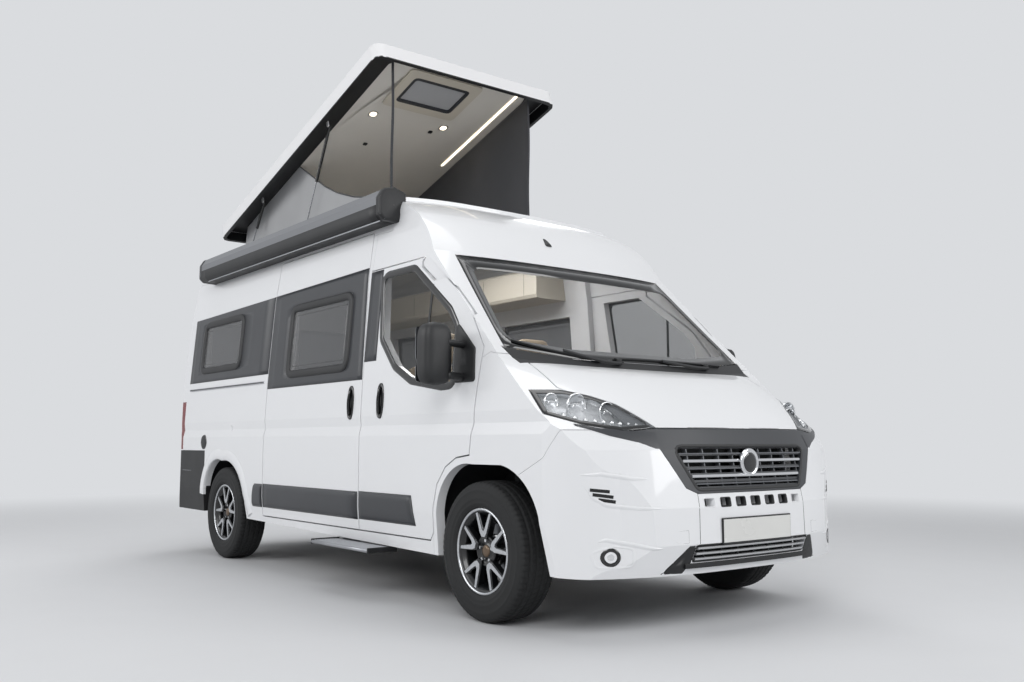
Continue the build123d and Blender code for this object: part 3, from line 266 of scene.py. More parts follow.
def glazing(name, code, cover, rough):
    """Tinted pane: a smooth surface with faint waves, which hides what lies behind by its cover."""
    material = bpy.data.materials.new(name)
    material.use_nodes = True
    tree = material.node_tree
    shader = tree.nodes["Principled BSDF"]
    shader.inputs["Base Color"].default_value = linear(code)
    shader.inputs["Roughness"].default_value = rough
    shader.inputs["IOR"].default_value = 1.5
    shader.inputs["Alpha"].default_value = cover
    place = add_node(material, "ShaderNodeTexCoord")
    wave = add_node(material, "ShaderNodeTexNoise", [
        ("Vector", place.outputs["Object"]), ("Scale", 2.0), ("Detail", 1.0)])
    bump = add_node(material, "ShaderNodeBump", [
        ("Height", wave.outputs["Fac"]), ("Distance", 0.0006), ("Strength", 1.0)])
    tree.links.new(bump.outputs["Normal"], shader.inputs["Normal"])
    return material


# Laminated windscreen, tempered door glass, smoked acrylic double panes, and the lamps' moulded covers
screen_glass = glazing("laminated_glass", "0B1012", 0.2, 0.02)
door_glass = glazing("tempered_glass", "0C1113", 0.3, 0.02)
acrylic = glazing("smoked_acrylic", "5C5D5F", 0.66, 0.06)
lamp_cover = glazing("clear_polycarbonate", "C9CFD4", 0.16, 0.03)
red_lens = glazing("red_lens", "7A0A0A", 0.92, 0.1)

# What each CAD piece that stays in view is finished in
coats = {"side_wall_right": enamel, "side_wall_left": enamel, "roof_panel": enamel, "roof_fairing": enamel,
         "cab_frame": enamel, "front_wings": enamel, "front_bumper": enamel, "bonnet": enamel,
         "sliding_door": enamel, "front_door_right": enamel, "front_door_left": enamel,
         "rear_door_right": enamel, "rear_door_left": enamel, "floor_deck": floor_vinyl,
         "wheel_liners": abs_black, "chassis_frame": chassis_paint, "underfloor_tanks": abs_black,
         "bed_platform": cabinet, "windscreen": screen_glass, "scuttle_panel": abs_black,
         "radiator_grille": abs_grey, "headlamps": lamp_cover, "rear_bumper": abs_black,
         "tail_lamps": red_lens, "side_windows": acrylic, "awning_case": anodised, "dashboard": dash_grain,
         "cabinets": cabinet, "engine_block": cast_iron, "front_axle_carrier": chassis_paint,
         "rear_axle": chassis_paint, "entry_step": anodised, "pop_lid": gelcoat, "roof_light": abs_grey,
         "lift_arms_lower": steel, "lift_arms_upper": steel, "front_strut_tubes": abs_gloss,
         "rear_strut_tubes": abs_gloss, "front_strut_rods": steel, "rear_strut_rods": steel,
         "cab_seats": seat_leather, "roof_tent": tent_pale, "front_door_glass_right": door_glass,
         "front_door_glass_left": door_glass, "rear_door_glass_right": acrylic,
         "rear_door_glass_left": acrylic, "mirror_right": abs_black, "mirror_left": abs_black,
         "knuckle_right": cast_iron, "knuckle_left": cast_iron, }
for _, word in SIDES:
    for end in TRACKS:
        coats["tyre_%s_%s" % (end, word)] = tyre_rubber
        coats["rim_%s_%s" % (end, word)] = wheel_black
for name, material in coats.items():
    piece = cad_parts[name]
    piece.data.materials.clear()
    piece.data.materials.append(material)


# Mesh helpers

def quads(rows, columns, wrap_rows=False, wrap_columns=False):
    """Corner numbers of each cell of a grid; where it wraps, the last row or column joins the first."""
    i = np.arange(rows if wrap_rows else rows - 1)[:, None]
    j = np.arange(columns if wrap_columns else columns - 1)[None, :]
    k, m = (i + 1) % rows, (j + 1) % columns
    return np.stack([i * columns + j, i * columns + m, k * columns + m, k * columns + j], -1).reshape(-1, 4)


def put(name, points, faces, material, body, smooth=True, wall=0.0, round_by=0.0, flip=False):
    """A piece in mm on a body; wall gives an open sheet its thickness inwards, round_by bevels its edges."""
    mesh = bpy.data.meshes.new(name)
    faces = [tuple(int(c) for c in (face[::-1] if flip else face)) for face in faces]
    mesh.from_pydata((np.asarray(points, float).reshape(-1, 3) * MM).tolist(), [], faces)
    mesh.validate()
    if smooth:
        mesh.shade_smooth()
    mesh.materials.append(material)
    piece = bpy.data.objects.new(name, mesh)
    bpy.context.scene.collection.objects.link(piece)
    if wall:
        solid = piece.modifiers.new("wall", "SOLIDIFY")
        solid.thickness, solid.offset = wall * MM, -1.0
    if round_by:
        bevel = piece.modifiers.new("edge", "BEVEL")
        bevel.width, bevel.segments, bevel.limit_method = round_by * MM, 2, "ANGLE"
    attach(piece, body)
    return piece


def facing(grid, towards):
    """True if the cell order of a grid gives normals that point away from the direction given."""
    across = np.cross(grid[1:, :-1] - grid[:-1, :-1], grid[:-1, 1:] - grid[:-1, :-1]).reshape(-1, 3)
    return (across @ np.array(towards, float)).sum() > 0


def skin(name, grid, towards, material, body, wall=2.0, keep=None, **more):
    """A grid of points as an open sheet with its outside facing the direction given."""
    faces = quads(*grid.shape[:2])
    if keep is not None:
        faces = faces[keep.reshape(-1)]
    return put(name, grid, faces, material, body, wall=wall, flip=facing(grid, towards), **more)


def rounded(points, radius, steps=6):
    """A closed outline with each corner replaced by a quadratic curve that touches both sides."""
    points = np.array(points, float)
    out = []
    for before, here, after in zip(np.roll(points, 1, 0), points, np.roll(points, -1, 0)):
        a, b = before - here, after - here
        la, lb = np.hypot(*a), np.hypot(*b)
        a, b = a / la, b / lb
        half = math.acos(max(-1, min(1, float(a @ b)))) / 2
        cut = min(radius / math.tan(half), la * 0.45, lb * 0.45)
        t = np.linspace(0, 1, steps)[:, None]
        start, end = here + a * cut, here + b * cut
        out.append((1 - t) ** 2 * start + 2 * t * (1 - t) * here + t ** 2 * end)
    return np.concatenate(out)


def spaced(loop, count):
    """A closed outline resampled to count points at even distances."""
    closed = np.vstack([loop, loop[:1]])
    run = np.concatenate([[0], np.cumsum(np.hypot(*np.diff(closed, axis=0).T))])
    at = np.linspace(0, run[-1], count, endpoint=False)
    return np.stack([np.interp(at, run, closed[:, 0]), np.interp(at, run, closed[:, 1])], 1)


def smooth_loop(points, radius, steps, count):
    """A closed outline with rounded corners, as evenly spaced points."""
    return spaced(rounded(points, radius, steps), count)


def grown(loop, by):
    """A closed outline moved outwards along its point normals."""
    along = np.roll(loop, -1, 0) - np.roll(loop, 1, 0)
    along /= np.linalg.norm(along, axis=1)[:, None]
    area = (loop[:, 0] * np.roll(loop[:, 1], -1) - np.roll(loop[:, 0], -1) * loop[:, 1]).sum()
    out = np.stack([along[:, 1], -along[:, 0]], 1) * (1 if area > 0 else -1)
    return loop + out * by


def on_flank(side):
    """A function that lays (x, z) and a lift on one flank: y is the skin's distance plus the lift."""
    def lay(outline, lift):
        x, z = outline[..., 0], outline[..., 1]
        return np.stack([x, side * (flank_y(x, z) + lift), z], -1)
    return lay


def on_nose(outline, lift):
    """Lays (y, z) on the front skin: x is the skin's plus the lift."""
    y, z = outline[..., 0], outline[..., 1]
    return np.stack([nose_x(y, z) + lift, y, z], -1)


def frame_ring(name, loop, lay, widths, lifts, material, body, towards, **more):
    """A ring along an outline: its section is widths outwards from the outline and lifts off the skin."""
    grid = np.stack([lay(grown(loop, w), h) for w, h in zip(widths, lifts)])
    faces = quads(grid.shape[0], grid.shape[1], wrap_columns=True)
    return put(name, grid, faces, material, body, flip=facing(grid, towards), **more)


def pad_plate(name, loop, lay, rise, edge, material, body, towards, rings=4, **more):
    """A plate on an outline: rings shrink to its middle while the lift rises by about a quarter ellipse."""
    middle = loop.mean(0)
    share = np.concatenate([[0, 0], 1 - np.cos(np.linspace(0.2, 1, rings) * math.pi / 2), [1]])
    lift = np.concatenate([[-1.5], edge + (rise - edge) * np.sin(np.linspace(0, 1, rings + 1) * math.pi / 2),
                           [rise]])
    grid = np.stack([lay(loop + (middle - loop) * s, h) for s, h in zip(share, lift)])
    faces = quads(grid.shape[0], grid.shape[1], wrap_columns=True)
    return put(name, grid, faces, material, body, flip=facing(grid, towards), **more)


def sweep(name, path, section, material, body, up=(0, 0, 1), closed=False, **more):
    """A profile carried along a path: each section point is (sideways, upwards) in the path's own frame."""
    path, section, up = np.array(path, float), np.array(section, float), np.array(up, float)
    ahead = np.roll(path, -1, 0) - np.roll(path, 1, 0) if closed else np.gradient(path, axis=0)
    ahead /= np.linalg.norm(ahead, axis=1)[:, None]
    across = np.cross(ahead, up)
    across /= np.linalg.norm(across, axis=1)[:, None]
    rise = np.cross(across, ahead)
    grid = path[:, None] + across[:, None] * section[None, :, :1] + rise[:, None] * section[None, :, 1:]
    rows, columns = grid.shape[:2]
    faces = quads(rows, columns, wrap_rows=closed, wrap_columns=True).tolist()
    if not closed:
        faces += [list(range(columns))[::-1], list(range((rows - 1) * columns, rows * columns))]
    area = (section[:, 0] * np.roll(section[:, 1], -1) - np.roll(section[:, 0], -1) * section[:, 1]).sum()
    return put(name, grid, faces, material, body, flip=area > 0, **more)


def circle(radius, count):
    """Points of a circle in the plane."""
    t = np.linspace(0, 2 * math.pi, count, endpoint=False)
    return radius * np.stack([np.cos(t), np.sin(t)], 1)


def block(name, low_corner, high_corner, material, body, round_by=4.0, **more):
    """A box between two corners with rounded edges."""
    a, b = np.array(low_corner, float), np.array(high_corner, float)
    pick = np.array([[i, j, k] for i in (0, 1) for j in (0, 1) for k in (0, 1)])
    faces = [(0, 1, 3, 2), (4, 6, 7, 5), (0, 4, 5, 1), (2, 3, 7, 6), (0, 2, 6, 4), (1, 5, 7, 3)]
    return put(name, a + (b - a) * pick, faces, material, body, smooth=False, round_by=round_by, **more)


def turned(name, profile, centre, axis, material, body, steps=64, **more):
    """A profile of (radius, distance along the axis) turned about the x, y or z axis through the centre."""
    profile = np.array(profile, float)
    t = np.linspace(0, 2 * math.pi, steps, endpoint=False)[:, None]
    r, d = profile[None, :, 0], profile[None, :, 1]
    if axis == "y":
        grid = np.stack([r * np.cos(t), d + 0 * t, r * np.sin(t)], -1)
    elif axis == "x":
        grid = np.stack([d + 0 * t, r * np.cos(t), r * np.sin(t)], -1)
    else:
        grid = np.stack([r * np.cos(t), r * np.sin(t), d + 0 * t], -1)
    faces = quads(grid.shape[0], grid.shape[1], wrap_rows=True)
    return put(name, grid + np.array(centre, float), faces, material, body, **more)


# Camera, floor and lights

def soft_lamp(name, place, aim, width, height, power):
    """A large rectangular lamp in metres, turned towards a point."""
    lamp = bpy.data.lights.new(name, "AREA")
    lamp.shape, lamp.size, lamp.size_y, lamp.energy = "RECTANGLE", width, height, power
    item = bpy.data.objects.new(name, lamp)
    item.location = place
    ray = np.array(aim, float) - np.array(place, float)
    item.rotation_mode = "QUATERNION"
    item.rotation_quaternion = Vector(ray).to_track_quat("-Z", "Y")
    bpy.context.scene.collection.objects.link(item)


# Place in metres, lens, heading and upward tilt are those of the camera solved from the photograph
camera_data = bpy.data.cameras.new("camera")
camera_data.sensor_width, camera_data.lens = 36.0, 33.79
camera_data.clip_end = 200
camera = bpy.data.objects.new("camera", camera_data)
bpy.context.scene.collection.objects.link(camera)
heading, tilt = math.radians(38.04), math.radians(5.965)
sight = (-math.cos(heading) * math.cos(tilt), math.sin(heading) * math.cos(tilt), math.sin(tilt))
camera.location = (5.7671, -3.9417, 0.9108)
camera.rotation_mode = "QUATERNION"
camera.rotation_quaternion = Vector(sight).to_track_quat("-Z", "Y")
bpy.context.scene.camera = camera
bpy.context.scene.view_settings.view_transform = "Standard"

soft_lamp("key_lamp", (7.5, -6.5, 6.0), (0.5, 0, 1.2), 5, 4, 360)
soft_lamp("side_lamp", (-2.5, -8.0, 4.5), (-0.6, 0, 1.2), 7, 3, 260)
soft_lamp("front_lamp", (8.0, 3.0, 4.0), (1.5, 0, 1.0), 4, 3, 185)
soft_lamp("back_lamp", (-7.0, 5.0, 6.0), (0, 0, 1.5), 5, 4, 240)
soft_lamp("cabin_lamp", (0.2, 0.0, 2.3), (0.2, 0, 0), 1.4, 0.7, 26)
soft_lamp("top_lamp", (0.0, 0.0, 8.5), (0, 0, 0), 7, 4, 180)


def backdrop_rays(owner):
    """1 for the rays that should see the backdrop's own colour: camera, glossy and transmission rays."""
    rays = add_node(owner, "ShaderNodeLightPath")
    bent = add_node(owner, "ShaderNodeMath", [
        (0, rays.outputs["Is Glossy Ray"]), (1, rays.outputs["Is Transmission Ray"])], operation="MAXIMUM")
    seen = add_node(owner, "ShaderNodeMath", [
        (0, rays.outputs["Is Camera Ray"]), (1, bent.outputs[0])], operation="MAXIMUM")
    return seen.outputs[0]


world = bpy.data.worlds.new("studio")
world.use_nodes = True
bpy.context.scene.world = world
air = world.node_tree.nodes["Background"]
air.inputs["Color"].default_value = linear(BACKDROP)
level = add_node(world, "ShaderNodeMapRange", [
    ("Value", backdrop_rays(world)), ("To Min", 0.42), ("To Max", 1.0)])
world.node_tree.links.new(level.outputs[0], air.inputs["Strength"])

# Matt floor paint; away from the van it takes the backdrop's colour, for the same rays as the backdrop
ground = bpy.data.meshes.new("studio_floor")
ground.from_pydata([(-60, -60, 0), (60, -60, 0), (60, 60, 0), (-60, 60, 0)], [], [(0, 1, 2, 3)])
floor_paint = finish("pale_floor_paint", "D4D5D7", 0.6, mottle=0.01)
ground.materials.append(floor_paint)
spot = add_node(floor_paint, "ShaderNodeTexCoord")
away = add_node(floor_paint, "ShaderNodeVectorMath", [(0, spot.outputs["Object"])], operation="LENGTH")
fade = add_node(floor_paint, "ShaderNodeMapRange", [
    ("Value", away.outputs["Value"]), ("From Min", 4.5), ("From Max", 12.0)], interpolation_type="SMOOTHSTEP")
part_far = add_node(floor_paint, "ShaderNodeMath", [
    (0, fade.outputs[0]), (1, backdrop_rays(floor_paint))], operation="MULTIPLY")
haze = add_node(floor_paint, "ShaderNodeEmission", [("Color", linear(BACKDROP)), ("Strength", 1.0)])
floor_tree = floor_paint.node_tree
blend_far = add_node(floor_paint, "ShaderNodeMixShader", [
    (0, part_far.outputs[0]), (1, floor_tree.nodes["Principled BSDF"].outputs[0]), (2, haze.outputs[0])])
floor_tree.links.new(blend_far.outputs[0], floor_tree.nodes["Material Output"].inputs["Surface"])
floor_piece = bpy.data.objects.new("studio_floor", ground)
bpy.context.scene.collection.objects.link(floor_piece)


# Body sides

def window_band(name, side, left, right, low_z, tops, hole, body):
    """Dark band round a window: x runs between edges that slant with z, without the window's cells."""
    x0, x1, z0, z1 = hole
    # Rows lie at the window's edges and at the corners of the body's section
    z = np.unique(np.concatenate([
        np.linspace(low_z, z0, 4), np.linspace(z0, z1, 8), np.linspace(z1, tops[0], 5), [1345, 1953]]))
    z = z[(z >= low_z) & (z <= tops[0])]
    rise = (z - low_z) / (tops[0] - low_z)
    left_x = (left[0] + (left[1] - left[0]) * rise)[:, None]
    right_x = (right[0] + (right[1] - right[0]) * rise)[:, None]
    t = np.linspace(0, 1, 4)
    x = np.concatenate([
        left_x * (1 - t[:-1]) + x0 * t[:-1], np.repeat(np.linspace(x0, x1, 7)[None, :-1], len(z), 0),
        x1 * (1 - t) + right_x * t], 1)
    zz = np.repeat(z[:, None], x.shape[1], 1)
    slope = tops[0] + (tops[1] - tops[0]) * (x - x.min()) / (x.max() - x.min())
    zz = np.where(zz > z1, z1 + (zz - z1) * (slope - z1) / (tops[0] - z1), zz)
    grid = np.stack([x, side * (flank_y(x, zz) + 1.6), zz], -1)
    mid_x, mid_z = (x[1:, 1:] + x[:-1, :-1]) / 2, (zz[1:, 1:] + zz[:-1, :-1]) / 2
    keep = ~((mid_x > x0) & (mid_x < x1) & (mid_z > z0) & (mid_z < z1))
    return skin(name, grid, (0, side, 0), abs_grey, body, wall=1.4, keep=keep)


def flank_window(name, side, hole, body):
    """The raised, rounded frame of an acrylic window, and its glossy black inner lip."""
    x0, x1, z0, z1 = hole
    loop = smooth_loop([(x0, z0), (x1, z0), (x1, z1), (x0, z1)], 70, 8, 96)
    frame_ring(name + "_frame", loop, on_flank(side), (-34, -30, -16, 6, 18, 22), (0.2, 7, 11, 11, 8, 1.2),
               abs_black, body, (0, side, 0))
    inner = grown(loop, -62)
    frame_ring(name + "_inner_line", inner, on_flank(side), (-2, 0, 3, 5), (-1.7, -0.8, -0.8, -1.7),
               abs_gloss, body, (0, side, 0))


# Window openings as (rear x, front x, low z, high z)
slide_hole = (AXLE - 2345, AXLE - 1470, 1375, 1860)
rear_hole = (AXLE - 4052, AXLE - 3234, 1495, 1900)
for side, word in SIDES:
    window_band("window_band_middle_" + word, side, (AXLE - 2659, AXLE - 2659), (AXLE - 1251, AXLE - 1286),
                1292, (1983, 2006), slide_hole, "body")
    window_band("window_band_rear_" + word, side, (AXLE - 4293, AXLE - 4293), (AXLE - 2671, AXLE - 2671),
                1405, (1956, 1982), rear_hole, "body")
    flank_window("middle_window_" + word, side, slide_hole, "body")
    flank_window("rear_window_" + word, side, rear_hole, "body")
    rail_path = np.stack([np.linspace(AXLE - 4252, AXLE - 2732, 20), np.zeros(20), np.full(20, 1346.0)], 1)
    rail_path[:, 1] = side * (flank_y(rail_path[:, 0], rail_path[:, 2]) + 4)
    sweep("slide_rail_" + word, rail_path, [(-6, -7), (6, -7), (6, 7), (-6, 7)], rail_metal, "body",
          smooth=False)
    slot_path = rail_path + np.array([0, side * 6.2, 0])
    sweep("slide_rail_slot_" + word, slot_path, [(-0.8, -2.4), (0.8, -2.4), (0.8, 2.4), (-0.8, 2.4)], seal,
          "body", smooth=False)


def cladding(name, side, corners, body):
    """Side moulding between two slanted ends: its lift is a flat-topped bulge of |v| to the sixth."""
    (x0_low, x0_high), (x1_low, x1_high), z_low, z_high = corners
    v = np.linspace(-1, 1, 13)[:, None]
    u = np.linspace(0, 1, 25)[None, :]
    up = (v + 1) / 2
    x = (x0_low + (x0_high - x0_low) * up) * (1 - u) + (x1_low + (x1_high - x1_low) * up) * u
    z = z_low + (z_high - z_low) * up + 0 * u
    bulge = 14 * (1 - np.abs(v) ** 6) * (1 - np.abs(2 * u - 1) ** 40) + 1.5
    grid = np.stack([x, side * (flank_y(x, z) + bulge), z], -1)
    skin(name, grid, (0, side, 0), abs_grey, body, wall=3)


def oval_handle(name, side, x, body):
    """A recessed pull: oval bezel 78 by 212 mm, dished middle and an upright bar across it."""
    t = np.linspace(0, 2 * math.pi, 64, endpoint=False)
    bent = lambda c: np.sign(c) * np.abs(c) ** 0.8
    loop = np.stack([x + 39 * bent(np.cos(t)), 1153 + 106 * bent(np.sin(t))], 1)
    frame_ring(name + "_bezel", loop, on_flank(side), (-16, -12, -4, 0, 1), (2.2, 6, 7, 4, 0.4), abs_gloss,
               body, (0, side, 0))
    pad_plate(name + "_dish", grown(loop, -10), on_flank(side), 1.0, 3.2, abs_black, body, (0, side, 0))
    bar = np.stack([np.full(14, x + 4.0), np.zeros(14), np.linspace(1075, 1232, 14)], 1)
    bow = 14 * np.sin(np.linspace(0, math.pi, 14)) ** 0.5
    bar[:, 1] = side * (flank_y(bar[:, 0], bar[:, 2]) + 3 + bow)
    sweep(name + "_bar", bar, circle(9, 12) * np.array([1.5, 0.7]), abs_gloss, body, up=(1, 0, 0))


for side, word in SIDES:
    cladding("side_moulding_rear_" + word, side,
             ((AXLE - 2838, AXLE - 2806), (AXLE - 2671, AXLE - 2671), 436, 603), "body")
    if side < 0:
        cladding("side_moulding_middle_" + word, side,
                 ((AXLE - 2657, AXLE - 2657), (AXLE - 1254, AXLE - 1254), 438, 606), "body")
        oval_handle("slide_handle_" + word, side, AXLE - 1380, "body")
    else:
        cladding("side_moulding_middle_" + word, side,
                 ((AXLE - 2666, AXLE - 2666), (AXLE - 1254, AXLE - 1254), 438, 606), "body")
    cladding("side_moulding_front_" + word, side,
             ((AXLE - 1237, AXLE - 1237), (AXLE - 595, AXLE - 640), 442, 610), "front_door_" + word)
    oval_handle("door_handle_" + word, side, AXLE - 1015, "front_door_" + word)

cap_loop = np.array([AXLE - 3852, 906]) + circle(52, 48)
pad_plate("filler_cap", cap_loop, on_flank(-1), 5, 2, abs_black, "body", (0, -1, 0))
frame_ring("filler_cap_rim", cap_loop, on_flank(-1), (0, 2, 6, 8), (0.4, 4, 4, 0.4), abs_gloss, "body",
           (0, -1, 0))

# Front door windows: black surround with the strip to the rear edge, and the divider
door_loop = np.array([(-1087, 1920), (-1045, 1530), (-869, 1353), (-680, 1262), (-366, 1215), (-250, 1218),
                      (-250, 1530), (-330, 1630), (-735, 1920)]) + np.array([AXLE, 0])
for side, word in SIDES:
    ride = "front_door_" + word
    loop = smooth_loop(door_loop, 60, 8, 140)
    frame_ring("door_window_seal_" + word, loop, on_flank(side), (-16, -14, -4, 14, 26, 28),
               (-1.4, 2.5, 4.5, 4.5, 2.5, 0.3), abs_gloss, ride, (0, side, 0))
    z = np.linspace(1400, 1968, 14)[:, None]
    x = AXLE - np.linspace(1075, 1241, 4)[None, :] + 0 * z
    x[:, 0] = AXLE - 1095
    grid = np.stack([x, side * (flank_y(x, z + 0 * x) + 1.4), z + 0 * x], -1)
    skin("door_band_" + word, grid, (0, side, 0), abs_grey, ride, wall=1.2)
    bar = np.stack([np.linspace(AXLE - 560, AXLE - 520, 12), np.zeros(12), np.linspace(1238, 1800, 12)], 1)
    bar[:, 1] = side * (flank_y(bar[:, 0], bar[:, 2]) - 0.5)
    sweep("door_window_divider_" + word, bar, [(-9, -2), (9, -2), (9, 2.5), (-9, 2.5)], abs_gloss, ride,
          up=(0, side, 0), smooth=False)


# Mirrors: two arms, a tall rounded housing, and two panes that face backwards

def mirror(side, word):
    """The housing is a superellipse in plan, scaled at height v by (1 - |v| to the fifth) to the 0.35."""
    v = np.linspace(-1, 1, 25)[:, None]
    t = np.linspace(0, 2 * math.pi, 48, endpoint=False)[None, :]
    swell = (1 - np.abs(v) ** 5) ** 0.35
    c, s = np.cos(t), np.sin(t)
    x = AXLE - 205 + 63 * np.sign(c) * np.abs(c) ** 0.6 * swell
    y = 1164 + 89 * np.sign(s) * np.abs(s) ** 0.6 * swell
    z = 1369 + 171 * v + 0 * t
    grid = np.stack([x, side * y, z], -1)
    name = "mirror_housing_" + word
    faces = quads(25, 48, wrap_columns=True).tolist() + [list(range(48))[::-1], list(range(24 * 48, 25 * 48))]
    piece = put(name, grid, faces, abs_black, "front_door_" + word, flip=side > 0)
    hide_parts("mirror_" + word)
    for low_z, high_z, tag in ((1332, 1515, "main"), (1222, 1316, "wide")):
        loop = smooth_loop([(1090, low_z), (1240, low_z), (1240, high_z), (1090, high_z)], 18, 6, 60)
        back = lambda o, h: np.stack([AXLE - 267.5 - h + 0 * o[:, 0], side * o[:, 0], o[:, 1]], -1)
        pad_plate("mirror_pane_%s_%s" % (tag, word), loop, back, 1.5, 0.8, mirror_glass, "front_door_" + word,
                  (-1, 0, 0))
    for z_arm, height in ((1247, 44), (1422, 40)):
        y = np.linspace(982, 1110, 10)
        path = np.stack([np.full(10, AXLE - 172.0), side * y, z_arm + 8 * np.sin((y - 982) / 128 * 1.5)], 1)
        oval = circle(1, 20) * np.array([30, height / 2])
        sweep("mirror_arm_%d_%s" % (z_arm, word), path, oval, abs_black, "front_door_" + word)
    sail = smooth_loop(
        np.array([(-246, 1222), (-52, 1222), (-60, 1400), (-246, 1560)]) + np.array([AXLE, 0]), 20, 5, 70)
    pad_plate("mirror_foot_" + word, sail, on_flank(side), 9, 4, abs_black, "front_door_" + word,
              (0, side, 0))


for side, word in SIDES:
    mirror(side, word)


# Front end

def band(name, rings, towards, material, body, **more):
    """A surface laid through outlines that have equal numbers of points, closed round."""
    grid = np.stack(rings)
    faces = quads(grid.shape[0], grid.shape[1], wrap_columns=True)
    return put(name, grid, faces, material, body, flip=facing(grid, towards), **more)


def mirror_pairs(half):
    """A closed outline from its half: the points, then their mirror images in y, reversed."""
    half = np.array(half, float)
    return np.vstack([half, half[::-1] * [-1, 1]])


def nose_line(name, ends, lift, wide, high, material, body="body", steps=24):
    """A bar across the nose between two (y, z) points, following the skin at a lift."""
    y = np.linspace(ends[0][0], ends[1][0], steps)
    z = np.linspace(ends[0][1], ends[1][1], steps)
    path = np.stack([nose_x(y, z) + lift, y, z], 1)
    a, b = wide / 2, high / 2
    shape = [(-a, -b * 0.6), (-a * 0.6, -b), (a * 0.6, -b), (a, -b * 0.6), (a, b * 0.6), (a * 0.6, b),
             (-a * 0.6, b), (-a, b * 0.6)]
    return sweep(name, path, shape, material, body, smooth=False)


# Windscreen: ceramic frit round the edge, deeper at the top, and two wipers parked along the bottom
screen = smooth_loop(mirror_pairs([(500, 1352), (930, 1400), (832, 1985)]), 30, 5, 200)
screen_in = smooth_loop(mirror_pairs([(480, 1408), (874, 1448), (782, 1896)]), 60, 6, 200)
band("screen_frit", [on_nose(screen, -1.5), on_nose(screen_in, -1.5)], (1, 0, 0), abs_gloss, "body", wall=0.6)
for word, blade, arm in (("right", [(-862, 1440), (-620, 1392), (-318, 1356)],
                          [(-180, 1345), (-330, 1352), (-560, 1398)]),
                         ("left", [(-200, 1368), (100, 1376), (700, 1372)],
                          [(560, 1352), (420, 1352), (180, 1376)])):
    t = np.linspace(0, 1, 24)[:, None]
    for tag, three, lift, shape in (
            ("blade", blade, 13, [(-7, -5), (0, -12), (7, -5), (5, 4), (-5, 4)]),
            ("arm", arm, 22, [(-11, -4), (11, -4), (8, 5), (-8, 5)])):
        p0, p1, p2 = np.array(three, float)
        curve = (1 - t) ** 2 * p0 + 2 * t * (1 - t) * (2 * p1 - (p0 + p2) / 2) + t ** 2 * p2
        path = on_nose(curve, lift)
        sweep("wiper_%s_%s" % (tag, word), path, shape, abs_black, "body", up=(0.7, 0, 0.7), smooth=False)
    hub = on_nose(np.array(arm[0], float), 0)
    turned("wiper_hub_" + word, [(0, 26), (12, 26), (17, 22), (19, 0), (0, 0)], hub, "z", abs_black, "body",
           steps=24)

fin = smooth_loop([(-92, 2138), (-40, 2138), (-54, 2192), (-66, 2200)], 8, 5, 48)
pad_plate("forehead_fin", fin, on_nose, 16, 5, abs_black, "body", (1, 0, 0))

# The dark gap between bonnet and grille
nose_line("bonnet_gap", ((-548, 976), (548, 976)), -6, 8, 8, seal)

# Headlamps: black rim, pale bowl, metallised reflectors and the light row below
lamp_corners = np.array([(988, 1163), (859, 1163), (752, 1129), (670, 1088), (559, 976), (738, 957),
                         (897, 988), (1010, 1040)], float)
for side, word in SIDES:
    loop = smooth_loop(lamp_corners * [side, 1], 22, 5, 120)
    frame_ring("headlamp_rim_" + word, grown(loop, -2), on_nose, (-20, -17, -3, 0), (-0.5, 1.4, 1.4, -1),
               abs_gloss, "body", (1, 0, 0))
    middle = loop.mean(0)
    bowl = [loop + (middle - loop) * s for s in (0.06, 0.12, 0.4, 0.98)]
    band("headlamp_bowl_" + word, [on_nose(b, h) for b, h in zip(bowl, (-9, -45, -74, -78))], (1, 0, 0),
         lamp_bowl, "body")
    tip = smooth_loop(np.array([(752, 1118), (676, 1080), (572, 984), (700, 984)]) * [side, 1], 8, 4, 60)
    pad_plate("headlamp_tip_" + word, tip, on_nose, -6, -10, abs_grey, "body", (1, 0, 0))
    for tag, y, z, r in (("main", 835, 1082, 56), ("inner", 722, 1052, 44), ("outer", 925, 1100, 40)):
        x = nose_at(y, z)
        dish = [(0, -r * 0.95), (r * 0.35, -r * 0.86), (r * 0.7, -r * 0.6), (r * 0.93, -r * 0.2), (r, 0),
                (r + 4, 2), (r + 5, -5)]
        turned("headlamp_%s_%s" % (tag, word), dish, (x - 30, side * y, z), "x", reflector, "body", steps=48)
        turned("headlamp_bulb_%s_%s" % (tag, word),
               [(0, 0), (7, -3), (10, -10), (10, -r * 0.8), (0, -r * 0.8)],
               (x - 28 - r * 0.3, side * y, z), "x", reflector, "body", steps=24)
    for k in range(9):
        y, z = 640 + 36 * k, 984 + 4 * k + (k > 6) * 8 * (k - 6)
        x = nose_at(y, z)
        turned("headlamp_row_%s_%d" % (word, k), [(0, 0), (9, -1), (12, -7), (12, -18), (0, -18)],
               (x - 12, side * y, z), "x", reflector, "body", steps=16)

